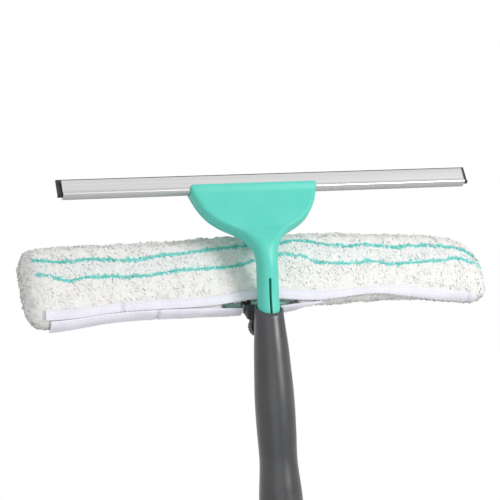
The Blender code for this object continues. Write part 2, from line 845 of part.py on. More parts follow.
def make_knob(black, metal, brass):
    """The threaded insert in the boss, and the lock screw with its washer and knurled knob."""
    insert_low = BOSS_FACE - INSERT_LENGTH
    thread_bore = THREAD_RADIUS + THREAD_CLEARANCE
    turned(
        "threaded_insert",
        tube_profile(INSERT_RADIUS, INSERT_RADIUS - thread_bore, insert_low, BOSS_FACE),
        brass,
        KNOB_FRAME,
        hollow=True,
    )
    washer_low = PLATE_BACK + GAP
    washer_top = washer_low + WASHER_THICKNESS
    turned(
        "lock_washer",
        tube_profile(WASHER_RADIUS, WASHER_RADIUS - thread_bore, washer_low, washer_top),
        metal,
        KNOB_FRAME,
        hollow=True,
    )
    knob_low = washer_top + GAP
    knob_top = knob_low + KNOB_THICKNESS
    outline = []
    for step in range(2 * KNOB_TEETH):
        radius = KNOB_RADIUS - (step % 2) * KNOB_TOOTH_DEPTH
        angle = math.tau * step / (2 * KNOB_TEETH)
        outline.append((radius * math.cos(angle), radius * math.sin(angle)))
    knob = slab("lock_knob", outline, knob_low, knob_top, black, KNOB_FRAME)
    rim = turned(
        "knob_rim",
        (
            (0, knob_top + OVERRUN),
            (KNOB_RADIUS - 2 * KNOB_TOOTH_DEPTH, knob_top + OVERRUN),
            (KNOB_RADIUS - 2 * KNOB_TOOTH_DEPTH, knob_top),
            (KNOB_RADIUS + KNOB_TOOTH_DEPTH, knob_top - 2 * KNOB_TOOTH_DEPTH),
            (KNOB_RADIUS + KNOB_TOOTH_DEPTH, knob_low + KNOB_TOOTH_DEPTH),
            (KNOB_RADIUS - KNOB_TOOTH_DEPTH, knob_low - KNOB_TOOTH_DEPTH),
            (0, knob_low - KNOB_TOOTH_DEPTH),
        ),
        placement=KNOB_FRAME,
    )
    hub = cylinder(
        "knob_hub",
        KNOB_HUB_RADIUS,
        knob_top - KNOB_TOOTH_DEPTH,
        knob_top + KNOB_HUB_HEIGHT,
        placement=KNOB_FRAME,
    )
    seat = cylinder(
        "knob_seat",
        THREAD_RADIUS + GAP,
        knob_low - OVERRUN,
        knob_top - KNOB_TOOTH_DEPTH,
        placement=KNOB_FRAME,
    )
    combine(knob, rim, "INTERSECT")
    join(knob, hub)
    cut(knob, seat)
    cylinder(
        "lock_screw",
        THREAD_RADIUS,
        insert_low,
        knob_top - KNOB_TOOTH_DEPTH - GAP,
        metal,
        KNOB_FRAME,
    )


def make_bracket(finish, metal):
    """A plate clamped on the boss, with two ears that carry the scrubber's hinge pin."""
    plate_frame = frame_at(Vector((0, 0, RIM)), -RIGHT, UP)
    foot = -KNOB_DROP - PLATE_FOOT_DROP
    half_foot = PLATE_FOOT_WIDTH / 2
    corners = (
        (-half_foot, foot),
        (half_foot, foot),
        (half_foot, PLATE_SHOULDER - half_foot / 2),
        (EAR_OUTSIDE, PLATE_SHOULDER),
        (EAR_OUTSIDE, PLATE_TOP),
        (-EAR_OUTSIDE, PLATE_TOP),
        (-EAR_OUTSIDE, PLATE_SHOULDER),
        (-half_foot, PLATE_SHOULDER - half_foot / 2),
    )
    bracket = slab(
        "scrubber_bracket",
        rounded(corners, PLATE_THICKNESS / 3, 2),
        PLATE_FRONT,
        PLATE_BACK,
        finish,
        plate_frame,
    )
    side_frame = frame_at(Vector((0, 0, RIM)), BACK, UP)
    arc = [
        (
            HINGE_DEPTH + HINGE_BARREL_RADIUS * math.cos(angle),
            HINGE_HEIGHT + HINGE_BARREL_RADIUS * math.sin(angle),
        )
        for angle in (math.pi * (step / CORNER_STEPS - 1 / 2) for step in range(CORNER_STEPS + 1))
    ]
    middle = (PLATE_FRONT + PLATE_BACK) / 2
    ear_outline = [(middle, PLATE_SHOULDER), *arc, (PLATE_BACK, EAR_TOP), (middle, EAR_TOP)]
    hole = cylinder(
        "bracket_pin_hole",
        PIN_RADIUS + GAP,
        -EAR_OUTSIDE - OVERRUN,
        EAR_OUTSIDE + OVERRUN,
        placement=frame_at(HINGE_FRAME.translation, BACK, UP),
        steps=ROUND_STEPS // 2,
    )
    for side, inside in (("left", -EAR_OUTSIDE), ("right", EAR_INSIDE)):
        ear = slab(
            f"bracket_ear_{side}", ear_outline, inside, inside + EAR_THICKNESS, placement=side_frame
        )
        join(bracket, ear)
    screw_hole = cylinder(
        "bracket_screw_hole",
        THREAD_RADIUS + THREAD_CLEARANCE,
        PLATE_FRONT - OVERRUN,
        PLATE_BACK + OVERRUN,
        placement=KNOB_FRAME,
        steps=ROUND_STEPS // 2,
    )
    cut(bracket, hole, screw_hole)
    pin_frame = frame_at(HINGE_FRAME.translation, BACK, UP)
    outside = EAR_OUTSIDE + GAP
    turned(
        "hinge_pin",
        (
            (0, outside + 2 * PIN_HEAD_THICKNESS),
            (PIN_RADIUS, outside + 2 * PIN_HEAD_THICKNESS),
            (PIN_RADIUS, -outside),
            (PIN_HEAD_RADIUS, -outside),
            (PIN_HEAD_RADIUS, -outside - PIN_HEAD_THICKNESS),
            (0, -outside - PIN_HEAD_THICKNESS),
        ),
        metal,
        pin_frame,
    )
    turned(
        "pin_retainer",
        tube_profile(
            PIN_HEAD_RADIUS, PIN_HEAD_RADIUS - PIN_RADIUS - GAP, outside, outside + PIN_HEAD_THICKNESS
        ),
        metal,
        pin_frame,
        hollow=True,
    )


def make_t_bar(finish):
    """The long flat bar that fills the sleeve, with a hub and a knuckle between the bracket's ears."""
    half = T_BAR_LENGTH / 2
    hub = T_BAR_HUB_WIDTH / 2
    corners = (
        (-half, T_BAR_ARM_LOW + T_BAR_TAPER),
        (-hub - T_BAR_HUB_SLOPE, T_BAR_ARM_LOW),
        (-hub, T_BAR_LOW),
        (hub, T_BAR_LOW),
        (hub + T_BAR_HUB_SLOPE, T_BAR_ARM_LOW),
        (half, T_BAR_ARM_LOW + T_BAR_TAPER),
        (half, T_BAR_HIGH),
        (-half, T_BAR_HIGH),
    )
    bar = slab(
        "t_bar",
        rounded(corners, T_BAR_CORNER),
        -T_BAR_THICKNESS / 2,
        T_BAR_THICKNESS / 2,
        finish,
        HINGE_FRAME,
    )
    inside = KNUCKLE_WIDTH / 2
    outside = EAR_OUTSIDE + 2 * PIN_HEAD_THICKNESS + HINGE_SIDE_GAP
    for side, low in (("left", -outside), ("right", inside)):
        slot = box(
            f"t_bar_slot_{side}",
            (low, T_BAR_LOW - OVERRUN, -T_BAR_THICKNESS),
            (low + outside - inside, T_BAR_NOTCH, T_BAR_THICKNESS),
            placement=HINGE_FRAME,
        )
        cut(bar, slot)
    along = frame_at(HINGE_FRAME.translation, BACK, UP)
    knuckle = cylinder(
        "t_bar_knuckle",
        HINGE_BARREL_RADIUS,
        -KNUCKLE_WIDTH / 2,
        KNUCKLE_WIDTH / 2,
        placement=along,
    )
    hole = cylinder(
        "t_bar_pin_hole",
        PIN_RADIUS + GAP,
        -KNUCKLE_WIDTH / 2 - OVERRUN,
        KNUCKLE_WIDTH / 2 + OVERRUN,
        placement=along,
        steps=ROUND_STEPS // 2,
    )
    join(bar, knuckle)
    cut(bar, hole)


def eased(rows, place):
    """The values of a table at this place, on a smooth curve through its rows."""
    last = len(rows) - 1
    index = max(0, min(last - 1, sum(1 for row in rows if row[0] <= place) - 1))
    before, low, high, after = (rows[max(0, min(last, index + step))] for step in (-1, 0, 1, 2))
    gap = high[0] - low[0]
    share = (place - low[0]) / gap
    values = []
    for column in range(1, len(low)):
        start = (high[column] - before[column]) / (high[0] - before[0]) * gap
        end = (after[column] - low[column]) / (after[0] - low[0]) * gap
        rise = high[column] - low[column]
        bend = share * (share - 1) * ((share - 1) * (start - rise) + share * (end - rise))
        values.append(low[column] + rise * share + bend)
    return values


def inset(radius, depth):
    """How far a rounded edge of this radius has drawn in, this deep from its face."""
    beyond = max(0, radius - depth)
    return radius - math.sqrt(radius**2 - beyond**2)


def sleeve_section(x):
    """Half height, half thickness and middle height of the sleeve at this distance from its centre."""
    low, high = eased(SLEEVE_EDGE_SHARES, x / (SLEEVE_LENGTH / 2))
    depth = SLEEVE_LENGTH / 2 - abs(x)
    low = SLEEVE_HEIGHT * low + inset(SLEEVE_LOW_ROUND, depth)
    high = SLEEVE_HEIGHT * high - inset(SLEEVE_TOP_ROUND, depth)
    return (high - low) / 2, SLEEVE_THICKNESS / 2 - inset(SLEEVE_END_ROUND, depth), (high + low) / 2


def sleeve_point(x, angle, proud=0):
    """A point of the sleeve's skin, at an angle from its lowest edge towards its front."""
    half_height, half_thickness, middle = sleeve_section(x)
    power = 2 / SLEEVE_CORNER_POWER
    down, front = math.cos(angle), math.sin(angle)
    height = -math.copysign(abs(down) ** power, down) * (half_height + proud)
    depth = math.copysign(abs(front) ** power, front) * (half_thickness + proud)
    return Vector((SLEEVE_SHIFT + x, middle + height, depth))


def sleeve_stations(half_length, count):
    """Places along the sleeve, closer together towards its ends."""
    return [half_length * math.sin(math.pi * (step / count - 1 / 2)) for step in range(count + 1)]


def make_sleeve(pile):
    """The pile sleeve: a crowned, drooping tube with a cavity for the T-bar and a mouth along its bottom."""
    rings = [
        [sleeve_point(x, math.tau * side / SLEEVE_SIDES) for side in range(SLEEVE_SIDES)]
        for x in sleeve_stations(SLEEVE_LENGTH / 2, SLEEVE_STATIONS)
    ]
    sleeve = loft("scrubber_sleeve", rings, pile, HINGE_FRAME)
    half_cavity = T_BAR_THICKNESS / 2 + CAVITY_CLEARANCE
    half_bar = T_BAR_LENGTH / 2 + CAVITY_CLEARANCE
    half_hub = T_BAR_HUB_WIDTH / 2 + T_BAR_HUB_SLOPE
    cavity = box(
        "sleeve_cavity",
        (-half_bar, T_BAR_ARM_LOW - CAVITY_CLEARANCE, -half_cavity),
        (half_bar, T_BAR_HIGH + CAVITY_CLEARANCE, half_cavity),
        placement=HINGE_FRAME,
    )
    hub_room = box(
        "sleeve_hub_room",
        (-half_hub, -SLEEVE_THICKNESS, -half_cavity),
        (half_hub, T_BAR_ARM_LOW, half_cavity),
        placement=HINGE_FRAME,
    )
    mouth_frame = HINGE_FRAME @ Matrix.Translation((0, MOUTH_START, 0))
    mouth_frame = mouth_frame @ Matrix.Rotation(-MOUTH_ANGLE, 4, "X")
    mouth = box(
        "sleeve_mouth",
        (-MOUTH_LENGTH / 2, -SLEEVE_THICKNESS, -MOUTH_WIDTH / 2),
        (MOUTH_LENGTH / 2, 0, MOUTH_WIDTH / 2),
        placement=mouth_frame,
    )
    half_parted = MOUTH_PARTED_LENGTH / 2
    parted = slab(
        "sleeve_mouth_parted",
        rounded(
            (
                (-half_parted, 0),
                (0, -MOUTH_PARTED_WIDTH / 2),
                (half_parted, 0),
                (0, MOUTH_PARTED_WIDTH / 2),
            ),
            MOUTH_WIDTH,
            2,
        ),
        0,
        SLEEVE_THICKNESS,
        placement=mouth_frame @ Matrix.Rotation(math.pi / 2, 4, "X"),
    )
    half_notch = EAR_OUTSIDE + STEM_NOTCH_CLEARANCE
    below = -SLEEVE_THICKNESS
    front_notch = box(
        "sleeve_front_notch",
        (-half_notch, below, -SLEEVE_THICKNESS),
        (half_notch, STEM_NOTCH_FRONT, SLEEVE_THICKNESS),
        placement=HINGE_FRAME,
    )
    back_notch = box(
        "sleeve_back_notch",
        (-half_notch, below, -SLEEVE_THICKNESS),
        (half_notch, STEM_NOTCH_BACK, 0),
        placement=HINGE_FRAME,
    )
    hinge_room = cylinder(
        "sleeve_hinge_room",
        HINGE_BARREL_RADIUS + HINGE_ROOM,
        -half_notch,
        half_notch,
        placement=frame_at(HINGE_FRAME.translation, BACK, UP),
    )
    cut(sleeve, cavity, hub_room, mouth, parted, front_notch, back_notch, hinge_room)


def make_hem(name, cloth, edges, start, end):
    """A woven band on the sleeve's skin between the edges of its table, from start to end along it."""
    rings = []
    count = round((end - start) / HEM_STEP)
    for step in range(count + 1):
        x = start + (end - start) * step / count
        low, high = (math.pi / 2 * share for share in eased(edges, x / (SLEEVE_LENGTH / 2)))
        angles = [low + (high - low) * part / CORNER_STEPS for part in range(CORNER_STEPS + 1)]
        outside = [sleeve_point(x, angle, GAP + HEM_THICKNESS) for angle in angles]
        inside = [sleeve_point(x, angle, GAP) for angle in reversed(angles)]
        rings.append(outside + inside)
    loft(name, rings, cloth, HINGE_FRAME)


def make_hems(cloth):
    """One hem along the mouth's front lip, and one on each side of the stem along its back lip."""
    half = SLEEVE_LENGTH / 2
    beside = EAR_OUTSIDE + STEM_NOTCH_CLEARANCE + HEM_STEM_GAP
    first, last = FRONT_HEM_SHARES[0][0], FRONT_HEM_SHARES[-1][0]
    make_hem("front_hem", cloth, FRONT_HEM_SHARES, half * first, half * last)
    first, last = BACK_HEM_SHARES[0][0], BACK_HEM_SHARES[-1][0]
    make_hem("back_hem_left", cloth, BACK_HEM_SHARES, half * first, -beside - SLEEVE_SHIFT)
    make_hem("back_hem_right", cloth, BACK_HEM_SHARES, beside - SLEEVE_SHIFT, half * last)


def spine(height):
    """The depth and the lean of the head's middle at this height above the rim, which sways forward first."""
    if height <= BEND_START:
        return 0, 0
    slope = math.tan(LEAN)
    if height >= BEND_END:
        return (height - BEND_HEIGHT) * slope, LEAN
    span = BEND_END - BEND_START
    share = (height - BEND_START) / span
    end = (BEND_END - BEND_HEIGHT) * slope
    depth = (3 - 2 * share) * share**2 * end + (share - 1) * share**2 * slope * span
    tilt = 6 * (share - share**2) * end / span + (3 * share**2 - 2 * share) * slope
    return depth, math.atan(tilt)


def head_ring(height, half_width, half_thickness, front_round, back_round):
    """A rounded section of the head, square to its spine."""
    depth, angle = spine(height)
    centre = Vector((0, depth, RIM + height))
    front = Vector((0, -math.cos(angle), math.sin(angle)))
    ring = []
    for quarter, radius in enumerate((front_round, front_round, back_round, back_round)):
        side = 1 if quarter in (0, 3) else -1
        face = 1 if quarter < 2 else -1
        for step in range(CORNER_STEPS + 2):
            turn = math.pi / 2 * (quarter + step / (CORNER_STEPS + 1))
            x = side * (half_width - radius) + radius * math.cos(turn)
            t = face * (half_thickness - radius) + radius * math.sin(turn)
            ring.append(centre + RIGHT * x + front * t)
    return ring


def neck_rings():
    """The round spigot and neck, from the tip of the spigot to the foot of the fan."""
    tip = -SPIGOT_DEPTH
    chamfer = SPIGOT_RADIUS - SPIGOT_TIP_RADIUS
    rings = []
    for height, radius in ((tip, SPIGOT_TIP_RADIUS), (tip + 2 * chamfer, SPIGOT_RADIUS), (0, SPIGOT_RADIUS)):
        rings.append(head_ring(height, radius, radius, radius, radius))
    steps = 2 * CORNER_STEPS
    for step in range(1, steps + 1):
        share = step / steps
        radius = SPIGOT_RADIUS + (NECK_RADIUS - SPIGOT_RADIUS) * share
        rings.append(head_ring(NECK_WAIST_HEIGHT * share, radius, radius, radius, radius))
    return rings


def fan_rings():
    """The fan, which spreads from the neck to the jaw and stays flat on its front."""
    rings = []
    for place, width in FAN_OUTLINE_SHARES:
        height = FAN_TOP * place
        half_width = FAN_HALF_WIDTH * width
        blend = min(1, max(0, half_width - NECK_RADIUS) / (2 * NECK_RADIUS))
        half = NECK_RADIUS + (FAN_THICKNESS / 2 - NECK_RADIUS) * blend
        if height > JAW_HEIGHT:
            grown = (height - JAW_HEIGHT) / (FAN_TOP - JAW_HEIGHT)
            half += (JAW_THICKNESS - FAN_THICKNESS) / 2 * grown
        front_round = half + (FAN_FRONT_ROUND - half) * blend
        back_round = half + (FAN_BACK_ROUND - half) * blend
        rings.append(head_ring(height, half_width, half, front_round, back_round))
    return rings


def channel_outline(clearance=0):
    """The channel's outer outline in the leaning frame, as (height, depth) pairs."""
    front = [
        (
            CHANNEL_START + CHANNEL_HEIGHT * height,
            CHANNEL_HALF_THICKNESS * depth + clearance,
        )
        for height, depth in CHANNEL_OUTER_SHARES
    ]
    front[0] = (front[0][0] - clearance, front[0][1])
    front[-1] = (front[-1][0] + clearance, front[-1][1])
    return front


def jaw_cutter(name):
    """The channel's shape with clearance, open at the top of the jaw, as a prism along X."""
    front = channel_outline(GAP)
    widest = max(depth for height, depth in front if height > front[-1][0] - CHANNEL_HEIGHT / 2)
    above = CHANNEL_START + CHANNEL_HEIGHT + OVERRUN
    front = [point for point in front if point[0] < CHANNEL_START + CHANNEL_HEIGHT / 2]
    front += [(CHANNEL_START + CHANNEL_HEIGHT / 2, widest), (above, widest)]
    outline = front + [(height, -depth) for height, depth in reversed(front)]
    half = FAN_HALF_WIDTH + OVERRUN
    return slab(name, outline, -half, half, placement=blade_frame())


def blade_frame():
    """The leaning frame turned so that its Z axis is +X, its X axis climbs and its Y axis faces the front."""
    return HEAD_FRAME @ Matrix(((0, 0, 1, 0), (1, 0, 0, 0), (0, 1, 0, 0), (0, 0, 0, 1)))


def head_screw_frame(side):
    """The frame of a head screw: its Z axis points out of the back plate."""
    place = Matrix.Translation((side * HEAD_SCREW_SPACING / 2, HEAD_SCREW_HEIGHT, 0))
    return HEAD_FRAME @ place @ Matrix.Rotation(math.pi, 4, "X")


def make_head(mint, metal):
    """The head's front moulding with its hollow neck, the back plate that closes the jaw, and two screws."""
    rings = neck_rings() + fan_rings()
    body = loft("head_body", rings, mint)
    plate = loft("head_back_plate", fan_rings(), mint)
    reach = FAN_HALF_WIDTH + OVERRUN
    tall = FAN_TOP + OVERRUN
    behind = box(
        "head_behind",
        (-reach, PART_START, -JAW_THICKNESS),
        (reach, tall, PART_DEPTH),
        placement=HEAD_FRAME,
    )
    keep = box(
        "plate_keep",
        (-reach, PART_START + GAP, -JAW_THICKNESS),
        (reach, tall, PART_DEPTH - GAP),
        placement=HEAD_FRAME,
    )
    pocket_top = CHANNEL_START - GAP - POCKET_WALL
    pocket = slab(
        "head_pocket",
        rounded(
            (
                (-POCKET_BOTTOM_HALF_WIDTH, POCKET_START),
                (POCKET_BOTTOM_HALF_WIDTH, POCKET_START),
                (POCKET_TOP_HALF_WIDTH, (POCKET_START + pocket_top) / 2),
                (POCKET_TOP_HALF_WIDTH, pocket_top),
                (-POCKET_TOP_HALF_WIDTH, pocket_top),
                (-POCKET_TOP_HALF_WIDTH, (POCKET_START + pocket_top) / 2),
            ),
            POCKET_CORNER,
            2,
        ),
        PART_DEPTH - OVERRUN,
        FAN_THICKNESS / 2 - POCKET_WALL,
        placement=HEAD_FRAME,
    )
    combine(plate, keep, "INTERSECT")
    cut(body, behind, pocket)
    for side, word in ((-1, "left"), (1, "right")):
        frame = head_screw_frame(side)
        front_end = FAN_THICKNESS / 2 - POCKET_WALL / 2
        boss = cylinder(
            f"head_boss_{word}",
            HEAD_SCREW_BOSS_RADIUS,
            -front_end,
            -PART_DEPTH,
            placement=frame,
            steps=ROUND_STEPS // 2,
        )
        join(body, boss)
        seat = FAN_THICKNESS / 2 - HEAD_SCREW_HEAD_HEIGHT
        hole = cylinder(
            f"head_hole_{word}",
            HEAD_SCREW_RADIUS + GAP,
            seat - HEAD_SCREW_LENGTH - GAP,
            JAW_THICKNESS,
            placement=frame,
            steps=ROUND_STEPS // 2,
        )
        sink = cylinder(
            f"plate_sink_{word}",
            HEAD_SCREW_HEAD_RADIUS + GAP,
            seat - GAP,
            JAW_THICKNESS,
            placement=frame,
            steps=ROUND_STEPS // 2,
        )
        cut(body, hole)
        cut(plate, hole, sink)
        make_screw(
            f"head_screw_{word}",
            HEAD_SCREW_RADIUS,
            HEAD_SCREW_HEAD_RADIUS,
            HEAD_SCREW_HEAD_HEIGHT,
            HEAD_SCREW_LENGTH,
            metal,
            frame @ Matrix.Translation((0, 0, seat)),
        )
    hollow = cylinder(
        "neck_hollow",
        NECK_HOLLOW_RADIUS,
        RIM - SPIGOT_DEPTH - OVERRUN,
        RIM + NECK_HOLLOW_TOP,
    )
    slit = box(
        "neck_slit",
        (-NECK_SLIT_WIDTH / 2, -SPIGOT_RADIUS - OVERRUN, RIM - SPIGOT_DEPTH - OVERRUN),
        (NECK_SLIT_WIDTH / 2, 0, RIM + NECK_SLIT_TOP),
    )
    cut(body, hollow, slit, jaw_cutter("jaw_slot"))
    cut(plate, jaw_cutter("plate_slot"))


def make_blade(aluminium, rubber):
    """The aluminium channel and the rubber that it grips, both pushed a little to the right."""
    outer = channel_outline()
    inner = [
        (CHANNEL_START + CHANNEL_HEIGHT * height, CHANNEL_HALF_THICKNESS * depth)
        for height, depth in CHANNEL_INNER_SHARES
    ]
    front = outer + inner
    outline = front + [(height, -depth) for height, depth in reversed(front)]
    slab(
        "blade_channel",
        outline,
        CHANNEL_SHIFT - CHANNEL_LENGTH / 2,
        CHANNEL_SHIFT + CHANNEL_LENGTH / 2,
        aluminium,
        blade_frame(),
    )
    foot = CHANNEL_START + CHANNEL_HEIGHT * RUBBER_FOOT_SHARE
    bead_top = CHANNEL_START + CHANNEL_HEIGHT * RUBBER_BEAD_TOP_SHARE - GAP
    tip = CHANNEL_START + CHANNEL_HEIGHT + RUBBER_STAND_OUT
    bead = RUBBER_BEAD_HALF_THICKNESS
    half = [
        (foot, bead / 2),
        (foot + bead / 2, bead),
        (bead_top - bead / 2, bead),
        (bead_top, bead / 2),
        (bead_top + bead / 2, RUBBER_HALF_THICKNESS),
        (tip, RUBBER_TIP_HALF_THICKNESS),
    ]
    outline = half + [(height, -depth) for height, depth in reversed(half)]
    slab(
        "squeegee_rubber",
        outline,
        CHANNEL_SHIFT - RUBBER_LENGTH / 2,
        CHANNEL_SHIFT + RUBBER_LENGTH / 2,
        rubber,
        blade_frame(),
    )


clear_scene()
MODEL = new_collection("telescopic_window_squeegee")
CUTTERS = new_collection("cutters")


def main():
    mint = material("mint_plastic", (0.12, 0.69, 0.57), 0.38)
    grey = material("grip_plastic", (0.055, 0.065, 0.072), 0.42)
    dark = material("dark_plastic", (0.03, 0.033, 0.036), 0.5)
    black = material("black_plastic", (0.015, 0.015, 0.015), 0.5)
    soft = material("soft_grip", (0.05, 0.055, 0.06), 0.8)
    rubber = material("black_rubber", (0.012, 0.012, 0.012), 0.6)
    aluminium = material("channel_aluminium", (0.75, 0.75, 0.75), 0.25, 1.0)
    tube = material("tube_aluminium", (0.7, 0.71, 0.72), 0.35, 1.0)
    steel = material("steel", (0.55, 0.55, 0.56), 0.3, 1.0)
    brass = material("brass", (0.75, 0.55, 0.25), 0.3, 1.0)
    pile = material("white_pile", (0.86, 0.85, 0.82), 0.95)
    cloth = material("hem_weave", (0.86, 0.86, 0.92), 0.8)
    make_end_cap(dark)
    make_pole(tube, dark, soft)
    make_lock(mint, dark)
    make_grip(grey)
    make_socket(dark, steel)
    make_knob(black, steel, brass)
    make_bracket(dark, steel)
    make_t_bar(mint)
    make_sleeve(pile)
    make_hems(cloth)
    make_head(mint, steel)
    make_blade(aluminium, rubber)


main()
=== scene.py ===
"""The looks of the telescopic window squeegee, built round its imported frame.

Metres, +Z up the pole. Pieces that follow a shape of the CAD repeat its driving sizes by name.
"""

import math
import random

import bmesh
import bpy
from mathutils import Matrix, Vector, noise
from mathutils.bvhtree import BVHTree


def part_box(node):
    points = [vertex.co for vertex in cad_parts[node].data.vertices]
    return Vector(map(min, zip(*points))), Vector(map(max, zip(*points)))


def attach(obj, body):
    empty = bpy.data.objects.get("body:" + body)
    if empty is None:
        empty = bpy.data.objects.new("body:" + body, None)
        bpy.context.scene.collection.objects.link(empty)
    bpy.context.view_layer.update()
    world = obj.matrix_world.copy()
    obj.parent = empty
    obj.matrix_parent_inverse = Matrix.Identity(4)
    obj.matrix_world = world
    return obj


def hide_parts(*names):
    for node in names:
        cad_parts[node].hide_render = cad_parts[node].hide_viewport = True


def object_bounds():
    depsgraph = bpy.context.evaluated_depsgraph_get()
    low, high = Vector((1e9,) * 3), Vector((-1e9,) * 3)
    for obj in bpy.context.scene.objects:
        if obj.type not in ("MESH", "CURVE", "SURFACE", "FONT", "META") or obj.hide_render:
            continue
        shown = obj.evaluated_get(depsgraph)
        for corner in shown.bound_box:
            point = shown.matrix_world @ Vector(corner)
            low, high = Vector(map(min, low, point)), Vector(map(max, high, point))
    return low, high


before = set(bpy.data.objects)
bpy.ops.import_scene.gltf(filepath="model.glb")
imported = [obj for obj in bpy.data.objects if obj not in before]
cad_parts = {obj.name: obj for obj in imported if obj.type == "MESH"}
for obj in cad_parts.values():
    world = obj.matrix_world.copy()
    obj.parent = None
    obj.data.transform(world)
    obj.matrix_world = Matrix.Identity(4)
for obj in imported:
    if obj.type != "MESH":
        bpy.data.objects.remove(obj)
CAD_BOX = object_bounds()

# Directions and the frames that the pieces are built in
RIGHT = Vector((1, 0, 0))
BACK = Vector((0, 1, 0))
UP = Vector((0, 0, 1))
GAP = 0.0003
OVERRUN = 0.004
LEAN = math.radians(26)
SPIGOT_DEPTH = 0.050
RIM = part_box("head_body")[0].z + SPIGOT_DEPTH
HINGE_DEPTH = 0.0227
HINGE_HEIGHT = 0.0025
BEND_HEIGHT = 0.045
ROUND_STEPS = 96

# Camera, fitted to the photograph
IMAGE_SIZE = 500
SENSOR_WIDTH = 36.0
FOCAL_PIXELS = 1813
CAMERA_AZIMUTH = math.radians(17.667)
CAMERA_ELEVATION = math.radians(-3.441)
CAMERA_ROLL = math.radians(3.644)
CAMERA_DISTANCE = 1.277
TARGET_RIGHT = -0.013188
TARGET_UP = 0.040834

# Handle grip
GRIP_LENGTH = 0.196
GRIP_RADIUS = 0.0163
RIM_SLOPE = math.radians(28)
RIM_ROUND = 0.0007
NECK_BORE_RADIUS = 0.0084
NECK_BORE_DEPTH = 0.056
CORE_BORE_RADIUS = 0.0065
SOCKET_BORE_RADIUS = 0.0116
SOCKET_BORE_DEPTH = 0.084
GRIP_ROWS = 110
BOSS_FACE = 0.014
BOSS_WIDTH = 0.013
BOSS_HEIGHT = 0.016
BOSS_CORNER = 0.003
KNOB_DROP = 0.012
INSERT_RADIUS = 0.003
INSERT_LENGTH = 0.0044
SOCKET_SCREW_DEPTH = 0.030
SOCKET_SCREW_RADIUS = 0.00175
SOCKET_SCREW_HEAD_RADIUS = 0.0035
SOCKET_SCREW_SINK = 0.0030
# Each pair is the depth under the rim and the radius, as shares of the grip's length and radius
GRIP_PROFILE_SHARES = (
    (-0.045, 0.610),
    (0.000, 0.626),
    (0.036, 0.648),
    (0.082, 0.693),
    (0.122, 0.736),
    (0.163, 0.770),
    (0.209, 0.798),
    (0.250, 0.825),
    (0.296, 0.850),
    (0.337, 0.862),
    (0.383, 0.865),
    (0.423, 0.856),
    (0.469, 0.844),
    (0.510, 0.826),
    (0.550, 0.824),
    (0.597, 0.862),
    (0.643, 0.914),
    (0.684, 0.945),
    (0.745, 0.985),
    (0.800, 1.000),
    (0.870, 0.990),
    (0.930, 0.955),
    (0.980, 0.905),
    (1.000, 0.860),
)

# Squeegee head, heights are above the collar rim
BEND_START = 0.004
BEND_END = 0.046
SPIGOT_RADIUS = 0.0080
SPIGOT_TIP_RADIUS = 0.0070
NECK_RADIUS = 0.0077
NECK_WAIST_HEIGHT = 0.034
NECK_HOLLOW_RADIUS = 0.0048
NECK_HOLLOW_TOP = 0.024
NECK_SLIT_WIDTH = 0.0017
NECK_SLIT_SHIFT = -0.0006
NECK_SLIT_TOP = 0.0205
FAN_HALF_WIDTH = 0.0473
FAN_TOP = 0.0876
FAN_THICKNESS = 0.0112
JAW_THICKNESS = 0.0136
JAW_HEIGHT = 0.0808
FAN_FRONT_ROUND = 0.0040
JAW_FRONT_ROUND = 0.0013
FAN_BACK_ROUND = 0.0018
HEAD_CORNER_STEPS = 12
FAN_STEPS = 4
NECK_STEPS = 24
PART_DEPTH = -0.0026
PART_START = 0.0150
POCKET_WALL = 0.0025
POCKET_START = 0.0165
POCKET_TOP_HALF_WIDTH = 0.036
POCKET_BOTTOM_HALF_WIDTH = 0.012
HEAD_SCREW_SPACING = 0.044
HEAD_SCREW_HEIGHT = 0.0290
HEAD_SCREW_RADIUS = 0.0015
HEAD_SCREW_HEAD_RADIUS = 0.0030
HEAD_SCREW_HEAD_HEIGHT = 0.0016
HEAD_SCREW_LENGTH = 0.0062
HEAD_SCREW_BOSS_RADIUS = 0.0036
# Each pair is a height under the jaw's top, as a share of the top's height, and the half width there
FAN_OUTLINE_SHARES = (
    (0.435, 0.173),
    (0.475, 0.194),
    (0.503, 0.220),
    (0.532, 0.254),
    (0.561, 0.290),
    (0.584, 0.326),
    (0.602, 0.365),
    (0.620, 0.412),
    (0.643, 0.497),
    (0.667, 0.583),
    (0.691, 0.657),
    (0.716, 0.720),
    (0.740, 0.774),
    (0.765, 0.815),
    (0.791, 0.853),
    (0.817, 0.885),
    (0.842, 0.911),
    (0.867, 0.936),
    (0.894, 0.956),
    (0.920, 0.975),
    (0.945, 0.991),
    (0.971, 1.000),
    (0.990, 1.000),
    (1.000, 0.982),
)

# Blade channel, in the leaning frame of the bend
CHANNEL_START = 0.0438
CHANNEL_HEIGHT = 0.0129
CHANNEL_HALF_THICKNESS = 0.0039
CHANNEL_STEPS = 5
# Outer side, then inner side: height and half thickness as shares of the channel's own
CHANNEL_OUTER_SHARES = (
    (0.000, 0.62),
    (0.030, 0.80),
    (0.070, 0.94),
    (0.120, 1.000),
    (0.165, 0.985),
    (0.205, 0.900),
    (0.240, 0.800),
    (0.290, 0.780),
    (0.450, 0.820),
    (0.650, 0.870),
    (0.860, 0.905),
    (0.940, 0.880),
    (0.980, 0.790),
    (1.000, 0.660),
)
CHANNEL_INNER_SHARES = (
    (1.000, 0.430),
    (0.970, 0.365),
    (0.910, 0.365),
    (0.860, 0.560),
    (0.600, 0.500),
    (0.380, 0.420),
    (0.330, 0.365),
    (0.285, 0.365),
    (0.255, 0.420),
    (0.235, 0.620),
    (0.110, 0.640),
    (0.085, 0.500),
)

